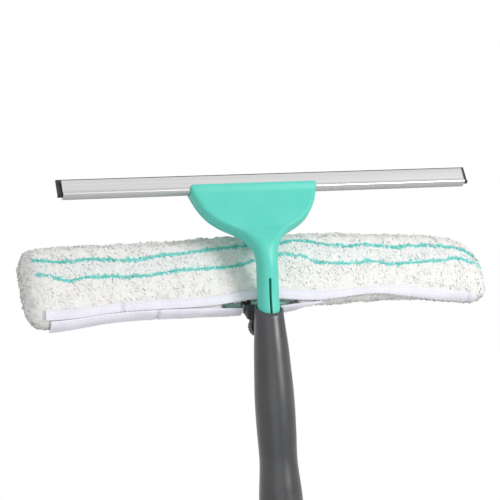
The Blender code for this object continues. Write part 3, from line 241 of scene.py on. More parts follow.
# Scrubber sleeve and its T-bar, in the leaning frame of the hinge
SLEEVE_LENGTH = 0.350
SLEEVE_SHIFT = 0.0045
SLEEVE_HEIGHT = 0.060
SLEEVE_THICKNESS = 0.0245
SLEEVE_END_ROUND = 0.0115
SLEEVE_TOP_ROUND = 0.014
SLEEVE_LOW_ROUND = 0.014
SLEEVE_CORNER_POWER = 3
SLEEVE_STATIONS = 70
SLEEVE_SIDES = 72
T_BAR_LENGTH = 0.318
T_BAR_THICKNESS = 0.006
T_BAR_ARM_LOW = 0.006
T_BAR_HIGH = 0.042
T_BAR_HUB_WIDTH = 0.036
T_BAR_HUB_SLOPE = 0.012
CAVITY_CLEARANCE = 0.0014
STEM_NOTCH_CLEARANCE = 0.0014
STEM_NOTCH_FRONT = -0.0005
STEM_NOTCH_BACK = 0.0065
EAR_OUTSIDE = 0.0114
HINGE_BARREL_RADIUS = 0.005
HINGE_ROOM = 0.0009
MOUTH_ANGLE = math.radians(55)
MOUTH_START = 0.003
MOUTH_PARTED_LENGTH = 0.074
MOUTH_PARTED_WIDTH = 0.007
# Each row is a place from the middle to an end, then the sleeve's low and high edge there
SLEEVE_EDGE_SHARES = (
    (-1.00, -0.165, 0.930),
    (-0.82, -0.130, 0.935),
    (-0.62, -0.060, 0.935),
    (-0.36, -0.057, 0.945),
    (-0.15, -0.060, 0.975),
    (0.00, -0.060, 0.978),
    (0.16, -0.045, 0.972),
    (0.34, -0.030, 0.965),
    (0.56, -0.022, 0.920),
    (0.78, -0.058, 0.876),
    (0.88, -0.088, 0.820),
    (0.93, -0.100, 0.725),
    (1.00, -0.118, 0.600),
)

# Pile of the sleeve: its simulation, its tufts and its turquoise lines
PILE_SHRINK = 0.0008
INSIDE_DEPTH = 0.0036
PILE_CLOTH_VOXEL = 0.005
PILE_CLOTH_CAP = 0.0012
PILE_CLOTH_FRAMES = 20
PILE_PRESSURE = 4
PILE_VOXEL = 0.0012
CURL_SIZE = 0.0028
CURL_HEIGHT = 0.0003
LUMP_SIZE = 0.010
LUMP_HEIGHT = 0.0008
UNDER_HEM_DEPTH = 0.0003
HEM_MARGIN_SHARE = 0.012
TUFTS = 19000
TUFT_SEED = 11
TUFT_SIDES = 3
TUFT_RADIUS = 0.0012
TUFT_HEIGHT = 0.0016
TUFT_SINK = 0.0004
TUFT_LEAN = 1.2
TUFT_COMB_SIZE = 0.008
# How far a tuft's shading turns from the skin's way out towards its own sides
TUFT_ROUND_SHARE = 0.2
LINE_HALF_WIDTH = 0.0016
LINE_FRAY = 0.0007
# Where the lines begin, from the middle towards the left end
LINE_START_SHARE = -0.945
# How often a tuft between the two lines has a pale dye
BAND_DYE_SHARE = 0.10
# The name of the tufts' UV map, in which each tuft has a cell of its own
BAKE_MAP = "OFBake"
# Each pair is a place from the middle to an end, and a line's share of a quarter turn from the lowest
# line of the sleeve to its front
UPPER_LINE_SHARES = (
    (-1.00, 1.27),
    (-0.90, 1.20),
    (-0.84, 1.15),
    (-0.70, 1.16),
    (-0.56, 1.10),
    (-0.42, 1.15),
    (-0.14, 1.21),
    (0.10, 1.27),
    (0.19, 1.29),
    (0.31, 1.18),
    (0.40, 1.15),
    (0.48, 1.17),
    (0.59, 1.13),
    (0.66, 1.155),
    (0.85, 1.17),
    (1.00, 1.20),
)
LOWER_LINE_SHARES = (
    (-1.00, 1.05),
    (-0.89, 1.01),
    (-0.80, 0.98),
    (-0.75, 0.99),
    (-0.51, 0.96),
    (-0.38, 0.99),
    (-0.08, 1.00),
    (0.08, 1.06),
    (0.17, 1.04),
    (0.22, 1.00),
    (0.41, 0.97),
    (0.46, 0.99),
    (0.57, 0.96),
    (0.72, 0.98),
    (0.87, 1.01),
    (1.00, 1.04),
)

# Hems
HEM_THICKNESS = 0.0012
HEM_STEP = 0.0025
HEM_SIDES = 12
HEM_WAVE = 0.00035
HEM_WAVE_SIZE = 0.018
HEM_STEM_GAP = 0.0008
SEAM_WIDTH = 0.0012
SEAM_DEPTH = 0.0006
FRONT_SEAM_PLACES = (-0.605, 0.895)
BACK_SEAM_PLACES = (-0.46,)
# Each row is a place from the middle to an end, then a hem's edges as shares of a quarter turn
FRONT_HEM_SHARES = (
    (-0.92, 0.330, 0.610),
    (-0.84, 0.300, 0.560),
    (-0.73, 0.270, 0.528),
    (-0.50, 0.262, 0.524),
    (-0.38, 0.277, 0.537),
    (-0.24, 0.300, 0.545),
    (-0.09, 0.421, 0.636),
    (0.05, 0.410, 0.632),
    (0.16, 0.294, 0.570),
    (0.26, 0.262, 0.505),
    (0.40, 0.334, 0.532),
    (0.51, 0.320, 0.556),
    (0.61, 0.200, 0.535),
    (0.74, 0.060, 0.437),
    (0.92, 0.000, 0.379),
)
BACK_HEM_SHARES = (
    (-0.90, -0.160, 0.290),
    (-0.63, -0.140, 0.245),
    (-0.38, -0.130, 0.250),
    (-0.23, -0.140, 0.205),
    (-0.10, -0.160, 0.150),
    (0.05, -0.130, 0.150),
    (0.12, -0.080, 0.180),
    (0.18, 0.060, 0.190),
    (0.24, 0.170, 0.215),
)

# Stitches along the hems
STITCH_LENGTH = 0.0024
STITCH_PITCH = 0.0036
STITCH_RADIUS = 0.00028
STITCH_INSET_SHARE = 0.13
STITCH_SEAT_SHARE = 0.86

# Pole tubes, lower grip and twist lock
TUBE_WALL = 0.0008
INNER_TUBE_RADIUS = 0.0093
LOWER_GRIP_RADIUS = 0.0145
LOWER_GRIP_BORE = 0.0113
LOWER_GRIP_RIBS = 9
LOWER_GRIP_GROOVE = 0.0012
LOWER_GRIP_EDGE = 0.0015
LOCK_RUNNING_GAP = 0.0004
LOCK_COLLAR_RADIUS = 0.0158
LOCK_COLLAR_TOP_RADIUS = 0.0127
LOCK_FLUTES = 12
LOCK_FLUTE_DEPTH = 0.0011
LOCK_FLUTE_WIDTH_SHARE = 0.42
LOCK_FLUTE_FADE = 0.0025
LOCK_WAIST = 0.0139
LOCK_THREAD_BORE = 0.0130
LOCK_CONE_LENGTH = 0.018
LOCK_CONE_LOW_RADIUS = 0.0116
LOCK_CONE_TOP_RADIUS = 0.0106
LOCK_EDGE = 0.0015
LOCK_ROWS = 60


def lean_axis(angle):
    """The direction that leans back from +Z by this angle."""
    return Vector((0, math.sin(angle), math.cos(angle)))


def frame_at(origin, first, second):
    """A matrix at origin whose X and Y axes point along first and second."""
    matrix = Matrix((first, second, first.cross(second))).transposed().to_4x4()
    matrix.translation = origin
    return matrix


HEAD_FRAME = frame_at(Vector((0, 0, RIM + BEND_HEIGHT)), RIGHT, lean_axis(LEAN))
HINGE_FRAME = frame_at(Vector((0, HINGE_DEPTH, RIM + HINGE_HEIGHT)), RIGHT, lean_axis(LEAN))
KNOB_FRAME = frame_at(Vector((0, 0, RIM - KNOB_DROP)), RIGHT, -UP)


def eased(rows, place):
    """The values of a table at this place, on a smooth curve through its rows."""
    last = len(rows) - 1
    place = min(max(place, rows[0][0]), rows[-1][0])
    index = max(0, min(last - 1, sum(1 for row in rows if row[0] <= place) - 1))
    before, low, high, after = (rows[max(0, min(last, index + step))] for step in (-1, 0, 1, 2))
    gap = high[0] - low[0]
    share = (place - low[0]) / gap
    values = []
    for column in range(1, len(low)):
        start = (high[column] - before[column]) / (high[0] - before[0]) * gap
        end = (after[column] - low[column]) / (after[0] - low[0]) * gap
        rise = high[column] - low[column]
        bend = share * (share - 1) * ((share - 1) * (start - rise) + share * (end - rise))
        values.append(low[column] + rise * share + bend)
    return values


# Colour and node helpers


def tone(red, green, blue):
    """A linear colour from values as a picture holds them, 0 to 255."""
    shares = (red / 255, green / 255, blue / 255)
    linear = [share / 12.92 if share <= 0.04045 else ((share + 0.055) / 1.055) ** 2.4 for share in shares]
    return (*linear, 1.0)


class Nodes:
    """A short way to add and link the shader nodes of one material."""

    def __init__(self, name):
        self.material = bpy.data.materials.new(name)
        self.material.use_nodes = True
        self.tree = self.material.node_tree
        self.shader = self.tree.nodes["Principled BSDF"]
        self.coordinates = self.add("ShaderNodeTexCoord").outputs["Object"]

    def add(self, kind, **values):
        node = self.tree.nodes.new(kind)
        for key, value in values.items():
            setattr(node, key, value)
        return node

    def link(self, source, target):
        self.tree.links.new(source, target)

    def stretched(self, scale, turn=0.0):
        """Object coordinates, turned about X and scaled along each axis."""
        mapping = self.add("ShaderNodeMapping")
        mapping.inputs["Rotation"].default_value = (turn, 0, 0)
        mapping.inputs["Scale"].default_value = scale
        self.link(self.coordinates, mapping.inputs["Vector"])
        return mapping.outputs["Vector"]

    def noise(self, scale, detail=3.0, roughness=0.5, vector=None):
        node = self.add("ShaderNodeTexNoise")
        node.inputs["Scale"].default_value = scale
        node.inputs["Detail"].default_value = detail
        node.inputs["Roughness"].default_value = roughness
        self.link(vector or self.coordinates, node.inputs["Vector"])
        return node.outputs["Fac"]

    def ranged(self, value, low, high, to_low=0.0, to_high=1.0):
        node = self.add("ShaderNodeMapRange")
        node.inputs["From Min"].default_value = low
        node.inputs["From Max"].default_value = high
        node.inputs["To Min"].default_value = to_low
        node.inputs["To Max"].default_value = to_high
        self.link(value, node.inputs["Value"])
        return node.outputs["Result"]

    def math(self, operation, first, second):
        node = self.add("ShaderNodeMath", operation=operation)
        for value, socket in ((first, node.inputs[0]), (second, node.inputs[1])):
            if isinstance(value, (int, float)):
                socket.default_value = value
            else:
                self.link(value, socket)
        return node.outputs["Value"]

    def mix(self, factor, first, second):
        """A colour between two, which are colours or other nodes' outputs."""
        node = self.add("ShaderNodeMix", data_type="RGBA")
        self.link(factor, node.inputs["Factor"])
        for value, socket in ((first, node.inputs[6]), (second, node.inputs[7])):
            if isinstance(value, tuple):
                socket.default_value = value
            else:
                self.link(value, socket)
        return node.outputs[2]

    def attribute(self, name):
        return self.add("ShaderNodeAttribute", attribute_name=name).outputs["Fac"]

    def bump(self, height, distance, strength=1.0, normal=None):
        node = self.add("ShaderNodeBump")
        node.inputs["Distance"].default_value = distance
        node.inputs["Strength"].default_value = strength
        self.link(height, node.inputs["Height"])
        if normal:
            self.link(normal, node.inputs["Normal"])
        return node.outputs["Normal"]

    def soft_edges(self, radius):
        """A normal that rounds the edges, and a mask that is 1 along them."""
        bevel = self.add("ShaderNodeBevel", samples=6)
        bevel.inputs["Radius"].default_value = radius
        geometry = self.add("ShaderNodeNewGeometry")
        dot = self.add("ShaderNodeVectorMath", operation="DOT_PRODUCT")
        self.link(bevel.outputs["Normal"], dot.inputs[0])
        self.link(geometry.outputs["Normal"], dot.inputs[1])
        return bevel.outputs["Normal"], self.ranged(dot.outputs["Value"], 0.999, 0.85)

    def finish(self, colour=None, roughness=None, normal=None, **fixed):
        """Links the shader's main sockets and sets its fixed values."""
        for value, socket in ((colour, "Base Color"), (roughness, "Roughness"), (normal, "Normal")):
            if value is None:
                continue
            if isinstance(value, (int, float, tuple)):
                self.shader.inputs[socket].default_value = value
            else:
                self.link(value, self.shader.inputs[socket])
        for socket, value in fixed.items():
            self.shader.inputs[socket.replace("_", " ")].default_value = value
        return self.material


def lighter(colour, share):
    """This colour moved towards white, or with a negative share towards black."""
    goal = 1.0 if share > 0 else 0.0
    return (*(value + (goal - value) * abs(share) for value in colour[:3]), 1.0)


def plastic(name, colour, roughness, grain=0.00004, edge=0.0004, shine=0.5):
    """Moulded plastic: a fine grain, faint cloudy colour and a painted highlight that makes its edges a little paler.
    """
    nodes = Nodes(name)
    smooth_normal, edge_mask = nodes.soft_edges(edge)
    cloud = nodes.ranged(nodes.noise(38, 4), 0.3, 0.7)
    body = nodes.mix(cloud, lighter(colour, -0.035), lighter(colour, 0.02))
    # Painted highlight: the edges paler, broken up by noise.
    edge_highlight = nodes.math("MULTIPLY", edge_mask, nodes.ranged(nodes.noise(420, 2), 0.35, 0.75, 0.05, 0.45))
    final = nodes.mix(edge_highlight, body, lighter(colour, 0.22))
    gloss = nodes.ranged(nodes.noise(90, 3), 0.3, 0.7, roughness - 0.04, roughness + 0.05)
    normal = nodes.bump(nodes.noise(2600, 2), grain, 0.5, smooth_normal)
    return nodes.finish(final, gloss, normal, Specular_IOR_Level=shine)


def brushed(name, colour, roughness, along, grain):
    """Metal drawn out along an axis, with fine streaks that way."""
    nodes = Nodes(name)
    across, length = 2600, 14
    scale = tuple(length if axis == along else across for axis in range(3))
    streaks = nodes.noise(1, 3, 0.6, nodes.stretched(scale))
    broad = nodes.noise(1, 2, 0.5, nodes.stretched(tuple(value / 6 for value in scale)))
    body = nodes.mix(nodes.ranged(broad, 0.3, 0.7), lighter(colour, -0.06), lighter(colour, 0.04))
    gloss = nodes.ranged(streaks, 0.3, 0.7, roughness - 0.05, roughness + 0.06)
    normal = nodes.bump(streaks, grain, 0.35)
    return nodes.finish(body, gloss, normal, Metallic=1.0)


def soft_rubber(name, colour, roughness):
    """Rubber: dull, with a fine dusty bloom and a painted highlight on its edges."""
    nodes = Nodes(name)
    smooth_normal, edge_mask = nodes.soft_edges(0.0003)
    bloom = nodes.ranged(nodes.noise(160, 5, 0.6), 0.4, 0.75)
    body = nodes.mix(bloom, colour, lighter(colour, 0.05))
    # Painted highlight: the edges a little paler.
    final = nodes.mix(nodes.math("MULTIPLY", edge_mask, 0.4), body, lighter(colour, 0.12))
    gloss = nodes.ranged(nodes.noise(300, 2), 0.3, 0.7, roughness - 0.06, roughness + 0.06)
    normal = nodes.bump(nodes.noise(1500, 3), 0.00006, 0.4, smooth_normal)
    return nodes.finish(final, gloss, normal)


def small_metal(name, colour, roughness):
    """Plated or turned small parts, with faint turning marks and a painted highlight on their edges."""
    nodes = Nodes(name)
    smooth_normal, edge_mask = nodes.soft_edges(0.00025)
    stain = nodes.ranged(nodes.noise(700, 4), 0.35, 0.75)
    body = nodes.mix(stain, colour, lighter(colour, -0.2))
    # Painted highlight: the edges paler.
    final = nodes.mix(nodes.math("MULTIPLY", edge_mask, 0.5), body, lighter(colour, 0.3))
    gloss = nodes.ranged(nodes.noise(1100, 3), 0.3, 0.7, roughness - 0.05, roughness + 0.1)
    normal = nodes.bump(nodes.noise(2200, 2), 0.00003, 0.4, smooth_normal)
    return nodes.finish(final, gloss, normal, Metallic=1.0)


def pile_material():
    """The pile's ground: white, with ragged turquoise lines, a cooler band between them and shaded hollows."""
    nodes = Nodes("pile_ground")
    fray = nodes.noise(1, 3, 0.65, nodes.stretched((1100, 420, 420)))
    wander = nodes.math("MULTIPLY", nodes.math("SUBTRACT", fray, 0.5), 3.4)
    broken = nodes.ranged(nodes.noise(210, 3, 0.6), 0.3, 0.52)
    lines = None
    for name, width in (("upper_line", 1.15), ("lower_line", 0.8)):
        away = nodes.math("ABSOLUTE", nodes.math("ADD", nodes.attribute(name), wander), 0.0)
        line = nodes.ranged(away, width + 0.75, width - 0.35)
        lines = nodes.math("MAXIMUM", lines, line) if lines else line
    lines = nodes.math("MULTIPLY", lines, nodes.ranged(broken, 0.0, 1.0, 0.45, 1.0))
    tuft = nodes.ranged(nodes.attribute("tuft"), 0.0, 1.0, 0.55, 0.0)
    white = nodes.mix(tuft, tone(244, 243, 241), tone(228, 226, 223))
    cloud = nodes.ranged(nodes.noise(55, 4, 0.6), 0.42, 0.72, 0.0, 0.5)
    white = nodes.mix(cloud, white, tone(232, 229, 224))
    white = nodes.mix(nodes.math("MULTIPLY", nodes.attribute("band"), 0.7), white, tone(224, 232, 231))
    thread = nodes.mix(nodes.ranged(nodes.noise(900, 2), 0.35, 0.65), tone(92, 210, 198), tone(48, 178, 168))
    final = nodes.mix(lines, white, thread)
    fine = nodes.noise(1400, 4, 0.7)
    normal = nodes.bump(fine, 0.0004, 0.5)
    return nodes.finish(final, 0.95, normal, Sheen_Weight=0.25, Sheen_Roughness=0.6, Specular_IOR_Level=0.2)


def tuft_material():
    """The tufts: painted shade at the root, each a little different, and dyed where a line crosses them."""
    nodes = Nodes("pile_tufts")
    rise = nodes.attribute("rise")
    shade = nodes.attribute("shade")
    white = nodes.mix(shade, tone(251, 250, 248), tone(242, 241, 238))
    # Painted shade: the roots darker than the tips, in the white and in the thread.
    white = nodes.mix(nodes.ranged(rise, 0.0, 0.8), tone(236, 235, 232), white)
    thread = nodes.mix(shade, tone(124, 228, 220), tone(74, 208, 200))
    thread = nodes.mix(nodes.ranged(rise, 0.0, 0.8), tone(72, 198, 190), thread)
    final = nodes.mix(nodes.attribute("dye"), white, thread)
    normal = nodes.bump(nodes.noise(1500, 3, 0.6), 0.0002, 0.4)
    return nodes.finish(final, 0.95, normal, Sheen_Weight=0.3, Sheen_Roughness=0.5, Specular_IOR_Level=0.2)


def hem_material():
    """Woven tape: fine ribs along it, crossed by closer ones, and painted shade along its seams."""
    nodes = Nodes("hem_weave")
    waves = []
    for direction, scale in (("Z", 950), ("X", 620)):
        wave = nodes.add("ShaderNodeTexWave", wave_type="BANDS", bands_direction=direction)
        wave.inputs["Scale"].default_value = scale
        wave.inputs["Distortion"].default_value = 0.6
        nodes.link(nodes.stretched((1, 1, 1), LEAN), wave.inputs["Vector"])
        waves.append(wave.outputs["Fac"])
    weave = nodes.math("MULTIPLY", waves[0], waves[1])
    cloud = nodes.ranged(nodes.noise(70, 4), 0.35, 0.7)
    body = nodes.mix(cloud, tone(246, 245, 254), tone(238, 237, 248))
    body = nodes.mix(nodes.math("MULTIPLY", weave, 0.2), body, tone(228, 227, 241))
    # Painted shade: darker where the seams dip in.
    final = nodes.mix(nodes.math("MULTIPLY", nodes.attribute("seam"), 0.55), body, tone(196, 195, 208))
    normal = nodes.bump(weave, 0.00018, 0.6)
    return nodes.finish(final, 0.85, normal, Sheen_Weight=0.15, Specular_IOR_Level=0.25)


# Mesh helpers


def place(name, mesh, material, body, slot, *nodes):
    """Puts a mesh in the scene as a piece that rides on a body and stands for these nodes."""
    mesh.materials.clear()
    mesh.materials.append(material)
    piece = bpy.data.objects.new(name, mesh)
    bpy.context.scene.collection.objects.link(piece)
    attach(piece, body)
    if nodes:
        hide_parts(*nodes)
    return piece


def to_mesh(shape, name, angle=math.radians(35)):
    """A smooth mesh, sharp where its faces meet at more than this angle."""
    bmesh.ops.recalc_face_normals(shape, faces=shape.faces)
    mesh = bpy.data.meshes.new(name)
    shape.to_mesh(mesh)
    shape.free()
    mesh.shade_smooth()
    mesh.set_sharp_from_angle(angle=angle)
    return mesh


def loft(name, rings, placement=Matrix.Identity(4), closed=False):
    """A skin through rings of as many points, with flat ends or, if closed, joined end to end."""
    shape = bmesh.new()
    rows = [[shape.verts.new(placement @ Vector(point)) for point in ring] for ring in rings]
    pairs = list(zip(rows, rows[1:]))
    if closed:
        pairs.append((rows[-1], rows[0]))
    for low, high in pairs:
        for index in range(len(low)):
            shape.faces.new((low[index - 1], low[index], high[index], high[index - 1]))
    if not closed:
        shape.faces.new(rows[0])
        shape.faces.new(rows[-1])
    return to_mesh(shape, name)


def filleted(points, radius, steps=4):
    """A closed outline with each corner rounded as far as its sides leave room."""
    outline = []
    for index, corner in enumerate(points):
        here = Vector(corner)
        before = Vector(points[index - 1]) - here
        after = Vector(points[(index + 1) % len(points)]) - here
        reach = min(radius, before.length * 0.45, after.length * 0.45)
        start = here + before.normalized() * reach
        end = here + after.normalized() * reach
        for step in range(steps + 1):
            share = step / steps
            outline.append(start.lerp(here, share).lerp(here.lerp(end, share), share))
    return outline


def turned(name, outline, placement=Matrix.Identity(4), steps=ROUND_STEPS):
    """Turns a closed (radius, height) outline about Z."""
    rings = []
    for step in range(steps):
        angle = math.tau * step / steps
        spin = Vector((math.cos(angle), math.sin(angle), 0))
        rings.append([spin * radius + UP * height for radius, height in outline])
    return loft(name, rings, placement, closed=True)


def drum(name, radius, low, high, placement=Matrix.Identity(4)):
    """A plain cylinder used for cutting."""
    shape = bmesh.new()
    bmesh.ops.create_cone(
        shape, cap_ends=True, segments=ROUND_STEPS // 2, radius1=radius, radius2=radius, depth=high - low
    )
    bmesh.ops.translate(shape, verts=shape.verts, vec=UP * (low + high) / 2)
    bmesh.ops.transform(shape, matrix=placement, verts=shape.verts)
    return to_mesh(shape, name)


def block(name, low, high, placement=Matrix.Identity(4)):
    """A plain box used for cutting."""
    shape = bmesh.new()
    bmesh.ops.create_cube(shape, size=1)
    low, high = Vector(low), Vector(high)
    bmesh.ops.scale(shape, verts=shape.verts, vec=high - low)
    bmesh.ops.translate(shape, verts=shape.verts, vec=(low + high) / 2)
    bmesh.ops.transform(shape, matrix=placement, verts=shape.verts)
    return to_mesh(shape, name)


def prism(name, outline, low, high, placement=Matrix.Identity(4)):
    """An outline in the XY plane, from low to high along Z."""
    rings = [[(x, y, height) for x, y in outline] for height in (low, high)]
    return loft(name, rings, placement)


def evaluated(holder):
    """The mesh that an object's modifiers make, with the object and its old mesh removed."""
    bpy.context.view_layer.update()
    graph = bpy.context.evaluated_depsgraph_get()
    mesh = bpy.data.meshes.new_from_object(holder.evaluated_get(graph))
    bpy.data.objects.remove(holder)
    return mesh


def carved(mesh, *steps):
    """The mesh after Boolean steps, each an operation and the other mesh."""
    holder = bpy.data.objects.new(mesh.name, mesh)
    bpy.context.scene.collection.objects.link(holder)
    helpers = []
    for operation, other in steps:
        helper = bpy.data.objects.new(other.name, other)
        bpy.context.scene.collection.objects.link(helper)
        helpers.append(helper)
        modifier = holder.modifiers.new(other.name, "BOOLEAN")
        modifier.operation = operation
        modifier.object = helper
        modifier.solver = "EXACT"
    made = evaluated(holder)
    for helper in helpers:
        bpy.data.objects.remove(helper)
    made.shade_smooth()
    made.set_sharp_from_angle(angle=math.radians(35))
    return made


def remeshed(mesh, voxel):
    """The mesh made again from voxels of this size."""
    holder = bpy.data.objects.new(mesh.name, mesh)
    bpy.context.scene.collection.objects.link(holder)
    modifier = holder.modifiers.new("remesh", "REMESH")
    modifier.mode = "VOXEL"
    modifier.voxel_size = voxel
    return evaluated(holder)


# Handle grip


def grip_radius(height):
    return GRIP_RADIUS * eased(GRIP_PROFILE_SHARES, (RIM - height) / GRIP_LENGTH)[0]


def make_grip(material):
    """The handle: a swelling body with an oblique, rounded rim and a boss behind it."""
    start = RIM - GRIP_LENGTH
    columns = []
    for step in range(ROUND_STEPS):
        angle = math.tau * step / ROUND_STEPS
        spin = Vector((math.cos(angle), math.sin(angle), 0))
        top = RIM
        for _ in range(5):
            top = RIM + spin.y * grip_radius(top) * math.tan(RIM_SLOPE)
        column = []
        for row in range(GRIP_ROWS + 1):
            height = start + (top - RIM_ROUND - start) * row / GRIP_ROWS
            column.append(spin * grip_radius(height) + UP * height)
        edge = grip_radius(top)
        inner_top = RIM + spin.y * NECK_BORE_RADIUS * math.tan(RIM_SLOPE)
        column.append(spin * (edge - RIM_ROUND * 0.3) + UP * (top - RIM_ROUND * 0.3))
        column.append(spin * (edge - RIM_ROUND) + UP * top)
        column.append(spin * (NECK_BORE_RADIUS + RIM_ROUND) + UP * (inner_top + RIM_ROUND * 0.3))
        column.append(spin * NECK_BORE_RADIUS + UP * (inner_top - RIM_ROUND))
        column.append(spin * NECK_BORE_RADIUS + UP * (RIM - NECK_BORE_DEPTH))
        column.append(spin * CORE_BORE_RADIUS + UP * (RIM - NECK_BORE_DEPTH - NECK_BORE_RADIUS))
        column.append(spin * CORE_BORE_RADIUS + UP * (start + SOCKET_BORE_DEPTH))
        column.append(spin * SOCKET_BORE_RADIUS + UP * (start + SOCKET_BORE_DEPTH))
        column.append(spin * SOCKET_BORE_RADIUS + UP * start)
        columns.append(column)
    body = loft("grip_moulding", columns, closed=True)
    wide, tall = BOSS_WIDTH / 2, BOSS_HEIGHT / 2
    corners = ((-wide, -tall), (wide, -tall), (wide, tall), (-wide, tall))
    boss_outline = filleted(corners, BOSS_CORNER, 8)
    boss = prism("grip_boss", boss_outline, NECK_BORE_RADIUS + GAP, BOSS_FACE, KNOB_FRAME)
    screw_frame = frame_at(Vector((0, 0, start + SOCKET_SCREW_DEPTH)), RIGHT, -UP)
    seat = drum("grip_seat", INSERT_RADIUS + GAP, BOSS_FACE - GAP - INSERT_LENGTH, BOSS_FACE + OVERRUN, KNOB_FRAME)
    hole = drum("grip_hole", SOCKET_SCREW_RADIUS + GAP, 0, GRIP_RADIUS + OVERRUN, screw_frame)
    sink_low = GRIP_RADIUS - SOCKET_SCREW_SINK
    sink = drum("grip_sink", SOCKET_SCREW_HEAD_RADIUS + GAP, sink_low, GRIP_RADIUS + OVERRUN, screw_frame)
    mesh = carved(body, ("UNION", boss), ("DIFFERENCE", seat), ("DIFFERENCE", hole), ("DIFFERENCE", sink))
    place("grip_moulding", mesh, material, "pole_upper", "grip_plastic", "handle_grip")


# Squeegee head


def spine(height):
    """The depth and the lean of the head's middle at this height above the rim, which sways forward first."""
    if height <= BEND_START:
        return 0, 0
    slope = math.tan(LEAN)
    if height >= BEND_END:
        return (height - BEND_HEIGHT) * slope, LEAN
    span = BEND_END - BEND_START
    share = (height - BEND_START) / span
    end = (BEND_END - BEND_HEIGHT) * slope
    depth = (3 - 2 * share) * share**2 * end + (share - 1) * share**2 * slope * span
    tilt = 6 * (share - share**2) * end / span + (3 * share**2 - 2 * share) * slope
    return depth, math.atan(tilt)


def head_ring(height, half_width, half_thickness, front_round, back_round):
    """A rounded section of the head, square to its spine."""
    depth, angle = spine(height)
    centre = Vector((0, depth, RIM + height))
    front = Vector((0, -math.cos(angle), math.sin(angle)))
    ring = []
    for quarter, radius in enumerate((front_round, front_round, back_round, back_round)):
        side = 1 if quarter in (0, 3) else -1
        face = 1 if quarter < 2 else -1
        for step in range(HEAD_CORNER_STEPS + 1):
            turn = math.pi / 2 * (quarter + step / HEAD_CORNER_STEPS)
            if step == HEAD_CORNER_STEPS:
                turn -= math.radians(0.5)
            x = side * (half_width - radius) + radius * math.cos(turn)
            t = face * (half_thickness - radius) + radius * math.sin(turn)
            ring.append(centre + RIGHT * x + front * t)
    return ring


def neck_rings():
    """The round spigot and neck, from the tip of the spigot to the foot of the fan."""
    tip = -SPIGOT_DEPTH
    chamfer = SPIGOT_RADIUS - SPIGOT_TIP_RADIUS
    rings = []
    for height, radius in ((tip, SPIGOT_TIP_RADIUS), (tip + 2 * chamfer, SPIGOT_RADIUS), (0, SPIGOT_RADIUS)):
        rings.append(head_ring(height, radius, radius, radius, radius))
    for step in range(1, NECK_STEPS + 1):
        share = step / NECK_STEPS
        radius = SPIGOT_RADIUS + (NECK_RADIUS - SPIGOT_RADIUS) * share
        rings.append(head_ring(NECK_WAIST_HEIGHT * share, radius, radius, radius, radius))
    return rings


def fan_rings():
    """The fan, which spreads from the neck to the jaw and stays flat on its front."""
    rings = []
    count = (len(FAN_OUTLINE_SHARES) - 1) * FAN_STEPS
    for step in range(count + 1):
        index = min(step // FAN_STEPS, len(FAN_OUTLINE_SHARES) - 2)
        low, high = FAN_OUTLINE_SHARES[index][0], FAN_OUTLINE_SHARES[index + 1][0]
        where = low + (high - low) * (step - index * FAN_STEPS) / FAN_STEPS
        height = FAN_TOP * where
        half_width = FAN_HALF_WIDTH * eased(FAN_OUTLINE_SHARES, where)[0]
        blend = min(1, max(0, half_width - NECK_RADIUS) / (2 * NECK_RADIUS))
        blend = blend * blend * (3 - 2 * blend)
        half = NECK_RADIUS + (FAN_THICKNESS / 2 - NECK_RADIUS) * blend
        grown = min(1, max(0, (height - JAW_HEIGHT) / (FAN_TOP - JAW_HEIGHT)))
        grown = grown * grown * (3 - 2 * grown)
        half += (JAW_THICKNESS - FAN_THICKNESS) / 2 * grown
        edge_round = FAN_FRONT_ROUND + (JAW_FRONT_ROUND - FAN_FRONT_ROUND) * grown
        front_round = half + (edge_round - half) * blend
        back_round = half + (FAN_BACK_ROUND - half) * blend
        rings.append(head_ring(height, half_width, half, front_round, back_round))
    return rings


def blade_frame():
    """The leaning frame turned so that its Z axis is +X, its X axis climbs and its Y axis faces the front."""
    return HEAD_FRAME @ Matrix(((0, 0, 1, 0), (1, 0, 0, 0), (0, 1, 0, 0), (0, 0, 0, 1)))


def channel_side(rows, clearance=0.0):
    """One side of the channel as (height, depth) pairs on a smooth curve through its table."""
    indexed = [(index, *row) for index, row in enumerate(rows)]
    count = (len(rows) - 1) * CHANNEL_STEPS
    side = []
    for step in range(count + 1):
        height, depth = eased(indexed, step / CHANNEL_STEPS)
        side.append((CHANNEL_START + CHANNEL_HEIGHT * height, CHANNEL_HALF_THICKNESS * depth + clearance))
    return side


def jaw_cutter(name):
    """The channel's shape with clearance, open at the top of the jaw."""
    front = channel_side(CHANNEL_OUTER_SHARES, GAP)
    middle = CHANNEL_START + CHANNEL_HEIGHT / 2
    widest = max(depth for height, depth in front if height > middle)
    front = [(front[0][0] - GAP, front[0][1])] + [point for point in front[1:] if point[0] < middle]
    front += [(middle, widest), (CHANNEL_START + CHANNEL_HEIGHT + OVERRUN, widest)]
    outline = front + [(height, -depth) for height, depth in reversed(front)]
    half = FAN_HALF_WIDTH + OVERRUN
    return prism(name, outline, -half, half, blade_frame())


